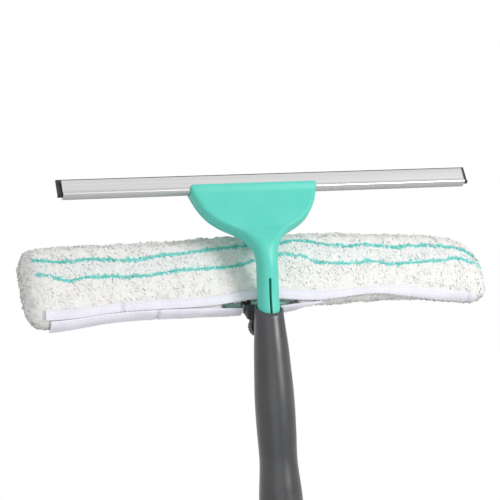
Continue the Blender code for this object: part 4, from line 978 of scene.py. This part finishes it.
def make_head(material):
    """The head's front moulding with its hollow neck, and the back plate that closes the jaw."""
    reach = FAN_HALF_WIDTH + OVERRUN
    tall = FAN_TOP + OVERRUN
    behind = block("head_behind", (-reach, PART_START, -JAW_THICKNESS), (reach, tall, PART_DEPTH), HEAD_FRAME)
    keep_low = (-reach, PART_START + GAP, -JAW_THICKNESS)
    keep = block("plate_keep", keep_low, (reach, tall, PART_DEPTH - GAP), HEAD_FRAME)
    pocket_top = CHANNEL_START - GAP - POCKET_WALL
    pocket_middle = (POCKET_START + pocket_top) / 2
    pocket_corners = (
        (-POCKET_BOTTOM_HALF_WIDTH, POCKET_START),
        (POCKET_BOTTOM_HALF_WIDTH, POCKET_START),
        (POCKET_TOP_HALF_WIDTH, pocket_middle),
        (POCKET_TOP_HALF_WIDTH, pocket_top),
        (-POCKET_TOP_HALF_WIDTH, pocket_top),
        (-POCKET_TOP_HALF_WIDTH, pocket_middle),
    )
    inside = FAN_THICKNESS / 2 - POCKET_WALL
    pocket = prism("head_pocket", filleted(pocket_corners, OVERRUN), PART_DEPTH - OVERRUN, inside, HEAD_FRAME)
    seat = FAN_THICKNESS / 2 - HEAD_SCREW_HEAD_HEIGHT
    body_steps = [("DIFFERENCE", behind), ("DIFFERENCE", pocket)]
    plate_steps = [("INTERSECT", keep)]
    for side in (-1, 1):
        where = Matrix.Translation((side * HEAD_SCREW_SPACING / 2, HEAD_SCREW_HEIGHT, 0))
        screw_frame = HEAD_FRAME @ where @ Matrix.Rotation(math.pi, 4, "X")
        front_end = -FAN_THICKNESS / 2 + POCKET_WALL / 2
        hole_low = seat - HEAD_SCREW_LENGTH - GAP
        boss = drum(f"head_boss_{side}", HEAD_SCREW_BOSS_RADIUS, front_end, -PART_DEPTH, screw_frame)
        hole = drum(f"head_hole_{side}", HEAD_SCREW_RADIUS + GAP, hole_low, JAW_THICKNESS, screw_frame)
        plate_hole = drum(f"plate_hole_{side}", HEAD_SCREW_RADIUS + GAP, hole_low, JAW_THICKNESS, screw_frame)
        sink_radius = HEAD_SCREW_HEAD_RADIUS + GAP
        sink = drum(f"plate_sink_{side}", sink_radius, seat - GAP, JAW_THICKNESS, screw_frame)
        body_steps += [("UNION", boss), ("DIFFERENCE", hole)]
        plate_steps += [("DIFFERENCE", plate_hole), ("DIFFERENCE", sink)]
    hollow = drum("neck_hollow", NECK_HOLLOW_RADIUS, RIM - SPIGOT_DEPTH - OVERRUN, RIM + NECK_HOLLOW_TOP)
    slit_half = NECK_SLIT_WIDTH / 2
    slit_low = (NECK_SLIT_SHIFT - slit_half, -SPIGOT_RADIUS - OVERRUN, RIM - SPIGOT_DEPTH - OVERRUN)
    slit = block("neck_slit", slit_low, (NECK_SLIT_SHIFT + slit_half, 0, RIM + NECK_SLIT_TOP))
    body_steps += [("DIFFERENCE", hollow), ("DIFFERENCE", slit), ("DIFFERENCE", jaw_cutter("jaw_slot"))]
    plate_steps += [("DIFFERENCE", jaw_cutter("plate_slot"))]
    body = carved(loft("head_moulding", neck_rings() + fan_rings()), *body_steps)
    plate = carved(loft("head_rear_moulding", fan_rings()), *plate_steps)
    place("head_moulding", body, material, "head", "mint_plastic", "head_body")
    place("head_rear_moulding", plate, material, "head", "mint_plastic", "head_back_plate")


def make_channel(material):
    """The aluminium extrusion, on smooth curves through its section."""
    low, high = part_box("blade_channel")
    front = channel_side(CHANNEL_OUTER_SHARES) + channel_side(CHANNEL_INNER_SHARES)
    outline = front + [(height, -depth) for height, depth in reversed(front)]
    mesh = prism("channel_extrusion", outline, low.x, high.x, blade_frame())
    place("channel_extrusion", mesh, material, "blade", "aluminium", "blade_channel")


# Scrubber sleeve


def inset(radius, depth):
    """How far a rounded edge of this radius has drawn in, this deep from its face."""
    beyond = min(radius, max(0, radius - depth))
    return radius - math.sqrt(radius**2 - beyond**2)


def sleeve_section(x):
    """Half height, half thickness and middle height of the sleeve at this distance from its centre."""
    low, high = eased(SLEEVE_EDGE_SHARES, x / (SLEEVE_LENGTH / 2))
    depth = SLEEVE_LENGTH / 2 - abs(x)
    low = SLEEVE_HEIGHT * low + inset(SLEEVE_LOW_ROUND, depth)
    high = SLEEVE_HEIGHT * high - inset(SLEEVE_TOP_ROUND, depth)
    return (high - low) / 2, SLEEVE_THICKNESS / 2 - inset(SLEEVE_END_ROUND, depth), (high + low) / 2


def sleeve_point(x, angle, proud=0.0):
    """A point of the sleeve's skin, at an angle from its lowest edge towards its front."""
    half_height, half_thickness, middle = sleeve_section(x)
    power = 2 / SLEEVE_CORNER_POWER
    down, front = math.cos(angle), math.sin(angle)
    half_height = max(half_height + proud, half_height / 2)
    half_thickness = max(half_thickness + proud, half_thickness / 2)
    height = -math.copysign(abs(down) ** power, down) * half_height
    depth = math.copysign(abs(front) ** power, front) * half_thickness
    return Vector((SLEEVE_SHIFT + x, middle + height, depth))


def sleeve_share(point):
    """A point's place along the sleeve, and its share of a quarter turn from the lowest line to the front."""
    x = min(max(point.x - SLEEVE_SHIFT, -SLEEVE_LENGTH / 2), SLEEVE_LENGTH / 2)
    half_height, half_thickness, middle = sleeve_section(x)
    power = SLEEVE_CORNER_POWER / 2
    down = (middle - point.y) / half_height
    front = point.z / half_thickness
    down = math.copysign(abs(down) ** power, down)
    front = math.copysign(abs(front) ** power, front)
    return x / (SLEEVE_LENGTH / 2), math.atan2(front, down) / (math.pi / 2)


def swollen(mesh):
    """The mesh after a short cloth simulation under pressure, with its swelling capped."""
    holder = bpy.data.objects.new(mesh.name, mesh)
    scene = bpy.context.scene
    scene.collection.objects.link(holder)
    rest = [vertex.co.copy() for vertex in mesh.vertices]
    cloth = holder.modifiers.new("cloth", "CLOTH")
    cloth.settings.use_pressure = True
    cloth.settings.uniform_pressure_force = PILE_PRESSURE
    cloth.settings.effector_weights.gravity = 0
    for number in range(1, PILE_CLOTH_FRAMES + 1):
        scene.frame_set(number)
    made = evaluated(holder)
    scene.frame_set(1)
    for vertex, before in zip(made.vertices, rest):
        moved = vertex.co - before
        if moved.length > PILE_CLOTH_CAP:
            vertex.co = before + moved.normalized() * PILE_CLOTH_CAP
    return made


def subdivided(mesh):
    holder = bpy.data.objects.new(mesh.name, mesh)
    bpy.context.scene.collection.objects.link(holder)
    modifier = holder.modifiers.new("subdivision", "SUBSURF")
    modifier.levels = modifier.render_levels = 1
    return evaluated(holder)


def sleeve_cutters():
    """The T-bar's cavity, the parted mouth and the notches for the bracket, in the hinge's frame."""
    half_cavity = T_BAR_THICKNESS / 2 + CAVITY_CLEARANCE
    half_bar = T_BAR_LENGTH / 2 + CAVITY_CLEARANCE
    half_hub = T_BAR_HUB_WIDTH / 2 + T_BAR_HUB_SLOPE
    half_notch = EAR_OUTSIDE + STEM_NOTCH_CLEARANCE
    below = -SLEEVE_THICKNESS
    arm_low = T_BAR_ARM_LOW - CAVITY_CLEARANCE
    high = T_BAR_HIGH + CAVITY_CLEARANCE
    cutters = [
        block("sleeve_cavity", (-half_bar, arm_low, -half_cavity), (half_bar, high, half_cavity)),
        block("sleeve_hub_room", (-half_hub, below, -half_cavity), (half_hub, T_BAR_ARM_LOW, half_cavity)),
        block("sleeve_notch", (-half_notch, below, below), (half_notch, STEM_NOTCH_FRONT, -below)),
        block("sleeve_back_notch", (-half_notch, below, below), (half_notch, STEM_NOTCH_BACK, 0)),
    ]
    across = frame_at(Vector(), BACK, UP)
    room = HINGE_BARREL_RADIUS + HINGE_ROOM
    cutters.append(drum("sleeve_hinge_room", room, -half_notch, half_notch, across))
    mouth = Matrix.Translation((0, MOUTH_START, 0)) @ Matrix.Rotation(-MOUTH_ANGLE, 4, "X")
    half_parted = MOUTH_PARTED_LENGTH / 2
    half_width = MOUTH_PARTED_WIDTH / 2
    corners = ((-half_parted, 0), (0, -half_width), (half_parted, 0), (0, half_width))
    turn = mouth @ Matrix.Rotation(math.pi / 2, 4, "X")
    cutters.append(prism("sleeve_parted", filleted(corners, half_width), 0, SLEEVE_THICKNESS, turn))
    return [("DIFFERENCE", cutter) for cutter in cutters]


def under_hem(place_share, share):
    """Whether a hem covers this part of the sleeve."""
    for rows in (FRONT_HEM_SHARES, BACK_HEM_SHARES):
        if rows[0][0] < place_share < rows[-1][0]:
            low, high = eased(rows, place_share)
            if low + HEM_MARGIN_SHARE < share < high - HEM_MARGIN_SHARE:
                return True
    return False


def line_offsets(point, where):
    """How far a point of the sleeve lies above its upper and its lower turquoise line."""
    if where < LINE_START_SHARE:
        return [SLEEVE_HEIGHT, SLEEVE_HEIGHT]
    x = where * SLEEVE_LENGTH / 2
    tables = (UPPER_LINE_SHARES, LOWER_LINE_SHARES)
    return [point.y - sleeve_point(x, eased(table, where)[0] * math.pi / 2).y for table in tables]


def dye_of(root, draw):
    """How deeply a tuft is dyed: fully on a line, faintly now and then between the two."""
    above, below = line_offsets(root, sleeve_share(root)[0])
    fray = draw.uniform(-LINE_FRAY, LINE_FRAY)
    if min(abs(above), abs(below)) + fray < LINE_HALF_WIDTH:
        return draw.uniform(0.75, 1.0)
    if above < 0 < below and draw.random() < BAND_DYE_SHARE:
        return draw.uniform(0.15, 0.45)
    return 0.0


def tuft_points(root, normal, draw):
    """A tuft's points, a ring at its root, one in its middle and its bent tip, and the way each is shaded."""
    comb = noise.noise_vector(root / TUFT_COMB_SIZE) + Vector([draw.uniform(-0.5, 0.5) for _ in range(3)])
    comb -= normal * comb.dot(normal)
    length = TUFT_HEIGHT * draw.uniform(0.65, 1.25)
    radius = TUFT_RADIUS * draw.uniform(0.75, 1.2)
    start = root - normal * TUFT_SINK
    middle = start + (normal + comb * TUFT_LEAN).normalized() * length * 0.6
    tip = middle + (normal * 0.5 + comb * TUFT_LEAN * 1.6).normalized() * length * 0.5
    across = normal.orthogonal().normalized()
    beside = normal.cross(across)
    first = draw.uniform(0, math.tau)
    points, ways = [], []
    for centre, size in ((start, radius), (middle, radius * 0.75)):
        for side in range(TUFT_SIDES):
            angle = first + math.tau * side / TUFT_SIDES
            spoke = across * math.cos(angle) + beside * math.sin(angle)
            points.append(centre + spoke * size)
            ways.append((normal + spoke * TUFT_ROUND_SHARE).normalized())
    return [*points, tip], [*ways, normal]


def tuft_faces():
    """A tuft's faces by its points' numbers, each with its corners on a square map."""
    count = TUFT_SIDES
    faces = [(tuple(reversed(range(count))), ((0, 0), (0.5, 0), (1, 0.1))[:count])]
    for side in range(count):
        after = (side + 1) % count
        left, right = side / count, (side + 1) / count
        faces.append(((side, after, count + after, count + side), ((left, 0.15), (right, 0.15), (right, 0.6), (left, 0.6))))
        faces.append(((count + side, count + after, 2 * count), ((left, 0.6), (right, 0.6), ((left + right) / 2, 1))))
    return faces


def make_tufts(ground, bare, material):
    """Short bent tufts over the pile's ground, but not where it is bare."""
    draw = random.Random(TUFT_SEED)
    open_faces = [face for face in ground.polygons if not any(bare[index] for index in face.vertices)]
    chosen = draw.choices(open_faces, [face.area for face in open_faces], k=TUFTS)
    pattern = tuft_faces()
    grid = math.ceil(math.sqrt(TUFTS))
    points, ways, faces, places = [], [], [], []
    values = {"dye": [], "shade": [], "rise": []}
    rises = [0.0] * TUFT_SIDES + [0.6] * TUFT_SIDES + [1.0]
    for number, face in enumerate(chosen):
        weights = [draw.random() for _ in face.vertices]
        corners = [ground.vertices[index].co for index in face.vertices]
        root = sum((corner * weight for corner, weight in zip(corners, weights)), Vector()) / sum(weights)
        first = len(points)
        made, outward = tuft_points(root, face.normal, draw)
        points += made
        ways += outward
        values["dye"] += [dye_of(root, draw)] * len(made)
        values["shade"] += [draw.random()] * len(made)
        values["rise"] += rises
        row, column = divmod(number, grid)
        for order, spots in pattern:
            faces.append([first + index for index in order])
            for across, up in spots:
                places += [(column + 0.1 + 0.8 * across) / grid, (row + 0.1 + 0.8 * up) / grid]
    mesh = bpy.data.meshes.new("sleeve_tufts")
    mesh.from_pydata(points, [], faces)
    mesh.uv_layers.new(name=BAKE_MAP).uv.foreach_set("vector", places)
    for name, numbers in values.items():
        mesh.attributes.new(name, "FLOAT", "POINT").data.foreach_set("value", numbers)
    mesh.transform(HINGE_FRAME)
    mesh.shade_smooth()
    turn = HINGE_FRAME.to_3x3()
    mesh.normals_split_custom_set_from_vertices([turn @ way for way in ways])
    place("sleeve_tufts", mesh, material, "scrubber", "white_pile")


def make_sleeve(ground_material, tufts_material):
    """The pile sleeve. Returns a tree of its skin before the tufts, in the hinge's frame, for the hems."""
    count = SLEEVE_STATIONS
    stations = [SLEEVE_LENGTH / 2 * math.sin(math.pi * (step / count - 1 / 2)) for step in range(count + 1)]
    rings = [
        [sleeve_point(x, math.tau * side / SLEEVE_SIDES, -PILE_SHRINK) for side in range(SLEEVE_SIDES)]
        for x in stations
    ]
    mesh = loft("sleeve_pile", rings)
    mesh = swollen(remeshed(mesh, PILE_CLOTH_VOXEL))
    mesh = subdivided(mesh)
    mesh = carved(mesh, *sleeve_cutters())
    mesh = remeshed(mesh, PILE_VOXEL)
    points = [vertex.co.copy() for vertex in mesh.vertices]
    skin = BVHTree.FromPolygons(points, [tuple(face.vertices) for face in mesh.polygons])
    normals = [vertex.normal.copy() for vertex in mesh.vertices]
    inside_cavity = T_BAR_THICKNESS / 2 + CAVITY_CLEARANCE + PILE_VOXEL
    values = {name: [] for name in ("upper_line", "lower_line", "band", "tuft")}
    bare = []
    for vertex, point, normal in zip(mesh.vertices, points, normals):
        where, share = sleeve_share(point)
        above, below = line_offsets(point, where)
        values["upper_line"].append(above * 1000)
        values["lower_line"].append(below * 1000)
        values["band"].append(1.0 if above < 0 < below else 0.0)
        curl = noise.noise(point / CURL_SIZE) + 0.5 * noise.noise(point / CURL_SIZE * 2.1)
        height = min(1.0, max(0.0, 0.5 + 0.55 * curl))
        values["tuft"].append(height)
        skin_point = sleeve_point(where * SLEEVE_LENGTH / 2, share * math.pi / 2)
        room = (skin_point - point).dot(normal)
        inside = abs(point.z) < inside_cavity and abs(normal.z) > 0.5 or room > INSIDE_DEPTH
        covered = not inside and under_hem(where, share)
        bare.append(inside or covered)
        if covered:
            vertex.co = point + normal * (max(0.0, room) - UNDER_HEM_DEPTH)
        elif not inside:
            vertex.co = point + normal * (CURL_HEIGHT * height + noise.noise(point / LUMP_SIZE) * LUMP_HEIGHT)
    for name, numbers in values.items():
        mesh.attributes.new(name, "FLOAT", "POINT").data.foreach_set("value", numbers)
    make_tufts(mesh, bare, tufts_material)
    mesh.transform(HINGE_FRAME)
    mesh.shade_smooth()
    piece = place("sleeve_pile", mesh, ground_material, "scrubber", "white_pile", "scrubber_sleeve")
    return skin


def on_skin(skin, x, angle, proud):
    """The sleeve's outside at this place, or its skin where that has swollen past it, lifted a little."""
    out = sleeve_point(x, angle, SLEEVE_THICKNESS)
    base = sleeve_point(x, angle)
    way = (out - base).normalized()
    hit = skin.ray_cast(base + way * SLEEVE_THICKNESS, -way)[0]
    swelling = (hit - base).dot(way) if hit else 0.0
    if not 0 < swelling < PILE_CLOTH_CAP:
        swelling = 0.0
    return base + way * (swelling + proud)


def hem_mesh(name, skin, edges, start, end, seams):
    """A woven band that lies on the skin between the edges of its table.

    Returns its mesh, its flat area and its greatest width.
    """
    count = round((end - start) / HEM_STEP)
    rings, marks, area, widest = [], [], 0.0, 0.0
    before = None
    for step in range(count + 1):
        x = start + (end - start) * step / count
        where = x / (SLEEVE_LENGTH / 2)
        low, high = (math.pi / 2 * share for share in eased(edges, where))
        seam = 0.0
        for place_share in seams:
            away = (where - place_share) * SLEEVE_LENGTH / 2 / SEAM_WIDTH
            seam = max(seam, math.exp(-(away**2)))
        ring = []
        for layer in (1, 0):
            sides = range(HEM_SIDES + 1) if layer else range(HEM_SIDES, -1, -1)
            for side in sides:
                share = side / HEM_SIDES
                rounding = max(0.0, math.sin(math.pi * share)) ** 0.25
                wave = noise.noise(Vector((x / HEM_WAVE_SIZE, share * 1.5, 0.0))) * HEM_WAVE
                proud = GAP / 2 + layer * HEM_THICKNESS * max(0.35, rounding) + wave + HEM_WAVE
                proud -= layer * seam * SEAM_DEPTH
                ring.append(on_skin(skin, x, low + (high - low) * share, proud))
        rings.append(ring)
        marks += [seam] * len(ring)
        outer = ring[: HEM_SIDES + 1]
        widths = [(outer[side + 1] - outer[side]).length for side in range(HEM_SIDES)]
        widest = max(widest, sum(widths))
        if before:
            area += sum(wide * (outer[side] - before[side]).length for side, wide in enumerate(widths))
        before = outer
    mesh = loft(name, rings)
    mesh.attributes.new("seam", "FLOAT", "POINT").data.foreach_set("value", marks)
    return mesh, area, widest


def make_hems(skin, material):
    """The three woven hems and the stitches along them."""
    half = SLEEVE_LENGTH / 2
    beside = EAR_OUTSIDE + STEM_NOTCH_CLEARANCE + HEM_STEM_GAP
    front, back = FRONT_HEM_SHARES, BACK_HEM_SHARES
    hems = (
        ("front_hem", front, half * front[0][0], half * front[-1][0], FRONT_SEAM_PLACES),
        ("back_hem_left", back, half * back[0][0], -beside - SLEEVE_SHIFT, BACK_SEAM_PLACES),
        ("back_hem_right", back, beside - SLEEVE_SHIFT, half * back[-1][0], ()),
    )
    tapes, rows, cuts = [], [], []
    for node, edges, start, end, seams in hems:
        mesh, area, widest = hem_mesh(f"{node}_tape", skin, edges, start, end, seams)
        mesh.transform(HINGE_FRAME)
        tapes.append(place(mesh.name, mesh, material, "scrubber", "hem_weave", node))
        cuts.append(((widest, end - start), area))
        shape = bmesh.new()
        for edge_share in (STITCH_INSET_SHARE, 1 - STITCH_INSET_SHARE):
            add_stitches(shape, skin, edges, start, end, edge_share)
        bmesh.ops.transform(shape, matrix=HINGE_FRAME, verts=shape.verts)
        sewn = to_mesh(shape, f"{node}_stitches")
        rows.append(place(sewn.name, sewn, material, "scrubber", "hem_weave"))


def add_stitches(shape, skin, edges, start, end, edge_share):
    """A row of short threads along a hem, each a small rounded bar."""
    count = int((end - start) / STITCH_PITCH) - 1
    for number in range(1, count):
        x = start + number * STITCH_PITCH
        ends = []
        for offset in (-STITCH_LENGTH / 2, STITCH_LENGTH / 2):
            where = (x + offset) / (SLEEVE_LENGTH / 2)
            low, high = (math.pi / 2 * share for share in eased(edges, where))
            angle = low + (high - low) * edge_share
            wave = noise.noise(Vector((x / HEM_WAVE_SIZE, edge_share * 1.5, 0.0))) * HEM_WAVE
            rise = GAP / 2 + HEM_THICKNESS * STITCH_SEAT_SHARE + HEM_WAVE + wave
            ends.append(on_skin(skin, x + offset, angle, rise))
        along = (ends[1] - ends[0]).normalized()
        turn = along.to_track_quat("Z", "Y").to_matrix().to_4x4()
        middle = (ends[0] + ends[1]) / 2
        size = Matrix.Diagonal((STITCH_RADIUS, STITCH_RADIUS, STITCH_LENGTH / 2, 1))
        matrix = Matrix.Translation(middle) @ turn @ size
        bmesh.ops.create_uvsphere(shape, u_segments=8, v_segments=6, radius=1, matrix=matrix)


# Pole, lock and end cap


def make_tubes(material):
    """The two pole tubes, with their ends broken by a small round."""
    for node, body in (("outer_tube", "pole_lower"), ("inner_tube", "pole_upper")):
        low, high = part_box(node)
        bore = high.x - TUBE_WALL
        corners = ((high.x, high.z), (high.x, low.z), (bore, low.z), (bore, high.z))
        mesh = turned(f"{node}_drawn", filleted(corners, TUBE_WALL / 3))
        place(mesh.name, mesh, material, body, "tube_aluminium", node)


def make_lower_grip(material):
    """A soft sleeve with rounded grooves round it."""
    low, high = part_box("lower_grip")
    pitch = (high.z - low.z) / (LOWER_GRIP_RIBS + 1)
    corners = [(LOWER_GRIP_BORE, high.z), (LOWER_GRIP_RADIUS, high.z)]
    for rib in range(1, LOWER_GRIP_RIBS + 1):
        middle = high.z - rib * pitch
        corners.append((LOWER_GRIP_RADIUS, middle + LOWER_GRIP_GROOVE))
        corners.append((LOWER_GRIP_RADIUS - LOWER_GRIP_GROOVE, middle))
        corners.append((LOWER_GRIP_RADIUS, middle - LOWER_GRIP_GROOVE))
    corners += [(LOWER_GRIP_RADIUS, low.z), (LOWER_GRIP_BORE, low.z)]
    mesh = turned("lower_grip_sleeve", filleted(corners, LOWER_GRIP_EDGE))
    place("lower_grip_sleeve", mesh, material, "pole_lower", "soft_grip", "lower_grip")


def lock_outside(rise, height, flute):
    """The collar's radius this far above its foot, with its flutes and its rounded ends taken off."""
    radius = LOCK_COLLAR_RADIUS
    if rise > LOCK_WAIST:
        taper = (rise - LOCK_WAIST) / (height - LOCK_WAIST)
        radius += (LOCK_COLLAR_TOP_RADIUS - LOCK_COLLAR_RADIUS) * taper
    fade = min(1.0, max(0.0, (LOCK_WAIST - rise) / LOCK_FLUTE_FADE))
    return radius - flute * fade - inset(LOCK_EDGE, min(rise, height - rise))


def make_lock(material):
    """The twist collar, with finger flutes that fade out into its cone."""
    low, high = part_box("lock_collar")
    height = high.z - low.z
    cone_top = LOCK_WAIST + LOCK_CONE_LENGTH
    lip = INNER_TUBE_RADIUS + LOCK_RUNNING_GAP
    inside = (
        (lip, height),
        (lip, cone_top + LOCK_RUNNING_GAP),
        (LOCK_CONE_TOP_RADIUS + LOCK_RUNNING_GAP, cone_top + LOCK_RUNNING_GAP),
        (LOCK_CONE_TOP_RADIUS + LOCK_RUNNING_GAP, cone_top),
        (LOCK_CONE_LOW_RADIUS + LOCK_RUNNING_GAP, LOCK_WAIST),
        (LOCK_THREAD_BORE, LOCK_WAIST),
        (LOCK_THREAD_BORE, 0),
    )
    columns = []
    steps = ROUND_STEPS * 2
    for step in range(steps):
        angle = math.tau * step / steps
        spin = Vector((math.cos(angle), math.sin(angle), 0))
        wave = abs((step * LOCK_FLUTES / steps + 0.5) % 1 - 0.5) * 2
        flute = max(0.0, 1 - wave / LOCK_FLUTE_WIDTH_SHARE)
        flute = LOCK_FLUTE_DEPTH * flute * flute * (3 - 2 * flute)
        column = []
        for row in range(LOCK_ROWS + 1):
            rise = height * row / LOCK_ROWS
            column.append(spin * lock_outside(rise, height, flute) + UP * (low.z + rise))
        column += [spin * radius + UP * (low.z + rise) for radius, rise in inside]
        columns.append(column)
    mesh = loft("lock_collar_moulding", columns, closed=True)
    place("lock_collar_moulding", mesh, material, "lock", "mint_plastic", "lock_collar")


# Finishes of the CAD nodes that stay


def finish_nodes(finishes):
    for node, material in finishes.items():
        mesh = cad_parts[node]
        for slot in mesh.material_slots:
            slot.material = material


# Studio


def sight():
    """The camera's right, up and forward directions."""
    ahead = Vector(
        (
            math.sin(CAMERA_AZIMUTH) * math.cos(CAMERA_ELEVATION),
            math.cos(CAMERA_AZIMUTH) * math.cos(CAMERA_ELEVATION),
            -math.sin(CAMERA_ELEVATION),
        )
    )
    level = Vector((math.cos(CAMERA_AZIMUTH), -math.sin(CAMERA_AZIMUTH), 0))
    climb = level.cross(ahead)
    right = math.cos(CAMERA_ROLL) * level - math.sin(CAMERA_ROLL) * climb
    up = math.cos(CAMERA_ROLL) * climb + math.sin(CAMERA_ROLL) * level
    return right, up, ahead


def make_camera():
    right, up, ahead = sight()
    data = bpy.data.cameras.new("camera")
    data.lens = FOCAL_PIXELS * SENSOR_WIDTH / IMAGE_SIZE
    data.sensor_width = SENSOR_WIDTH
    camera = bpy.data.objects.new("camera", data)
    matrix = Matrix((right, up, -ahead)).transposed().to_4x4()
    target = UP * RIM + right * TARGET_RIGHT + up * TARGET_UP
    matrix.translation = target - ahead * CAMERA_DISTANCE
    camera.matrix_world = matrix
    bpy.context.scene.collection.objects.link(camera)
    bpy.context.scene.camera = camera
    return target


def make_lamp(name, target, place_share, distance, size, energy):
    """A square white lamp, placed by shares along the camera's right, up and backward directions."""
    right, up, ahead = sight()
    way = (right * place_share[0] + up * place_share[1] - ahead * place_share[2]).normalized()
    data = bpy.data.lights.new(name, "AREA")
    data.size = size
    data.energy = energy
    lamp = bpy.data.objects.new(name, data)
    lamp.location = target + way * distance
    lamp.rotation_euler = (-way).to_track_quat("-Z", "Y").to_euler()
    bpy.context.scene.collection.objects.link(lamp)


def white_when_seen(tree):
    """A factor that is 1 where the world is looked at, reflected or seen through."""
    path = tree.nodes.new("ShaderNodeLightPath")
    total = path.outputs["Is Camera Ray"]
    for name in ("Is Glossy Ray", "Is Transmission Ray"):
        greater = tree.nodes.new("ShaderNodeMath")
        greater.operation = "MAXIMUM"
        tree.links.new(total, greater.inputs[0])
        tree.links.new(path.outputs[name], greater.inputs[1])
        total = greater.outputs[0]
    return total


def make_world(level):
    """White where it is seen, and a softer light of this level on the surfaces."""
    world = bpy.data.worlds.new("studio")
    world.use_nodes = True
    tree = world.node_tree
    tree.nodes.clear()
    output = tree.nodes.new("ShaderNodeOutputWorld")
    mix = tree.nodes.new("ShaderNodeMixShader")
    dim = tree.nodes.new("ShaderNodeBackground")
    white = tree.nodes.new("ShaderNodeBackground")
    for background, strength in ((dim, level), (white, 1.0)):
        background.inputs["Color"].default_value = (1, 1, 1, 1)
        background.inputs["Strength"].default_value = strength
    tree.links.new(white_when_seen(tree), mix.inputs["Fac"])
    tree.links.new(dim.outputs[0], mix.inputs[1])
    tree.links.new(white.outputs[0], mix.inputs[2])
    tree.links.new(mix.outputs[0], output.inputs["Surface"])
    bpy.context.scene.world = world


def make_floor():
    """A pale floor just under the tool, to stand its shadow on."""
    shape = bmesh.new()
    bmesh.ops.create_grid(shape, x_segments=2, y_segments=2, size=3.0)
    mesh = to_mesh(shape, "floor")
    nodes = Nodes("floor_pale")
    mesh.materials.append(nodes.finish(tone(236, 236, 236), 0.9))
    floor = bpy.data.objects.new("floor", mesh)
    floor.location = (0, 0, CAD_BOX[0][2] - GAP)
    bpy.context.scene.collection.objects.link(floor)


MINT = tone(85, 206, 188)
GRIP_GREY = tone(36, 38, 41)

target = make_camera()
make_world(0.58)
make_floor()
make_lamp("key", target, (0.95, 0.45, 0.75), 1.3, 0.45, 9.3)
make_lamp("fill", target, (-0.1, 0.05, 1.0), 1.6, 1.2, 2.6)

mint = plastic("mint_satin", MINT, 0.38, grain=0.00002)
mint_matt = plastic("mint_matt", tone(165, 214, 202), 0.55)
grip_grey = plastic("grip_satin", GRIP_GREY, 0.32, grain=0.00003, shine=0.75)
dark = plastic("dark_matt", tone(52, 55, 57), 0.5)
black = plastic("black_matt", tone(26, 25, 22), 0.5, edge=0.0001)
soft = soft_rubber("soft_grip", tone(54, 57, 60), 0.75)
rubber = soft_rubber("blade_rubber", tone(20, 20, 21), 0.55)
aluminium = brushed("channel_aluminium", tone(210, 210, 211), 0.28, 0, 0.00003)
tube = brushed("tube_aluminium", tone(212, 213, 214), 0.32, 2, 0.00003)
steel = small_metal("steel_plated", tone(200, 200, 202), 0.3)
brass = small_metal("brass_turned", tone(214, 182, 104), 0.3)

make_grip(grip_grey)
make_head(mint)
make_channel(aluminium)
skin = make_sleeve(pile_material(), tuft_material())
make_hems(skin, hem_material())
make_tubes(tube)
make_lower_grip(soft)
make_lock(mint)
finish_nodes(
    {
        "end_cap": dark,
        "lock_base": dark,
        "lock_cone": dark,
        "tube_guide": dark,
        "pole_socket": dark,
        "socket_screw": steel,
        "threaded_insert": brass,
        "scrubber_bracket": dark,
        "hinge_pin": steel,
        "pin_retainer": steel,
        "lock_washer": steel,
        "lock_knob": black,
        "lock_screw": steel,
        "t_bar": mint_matt,
        "head_screw_left": steel,
        "head_screw_right": steel,
        "squeegee_rubber": rubber,
    }
)

bpy.context.scene.view_settings.view_transform = "Standard"
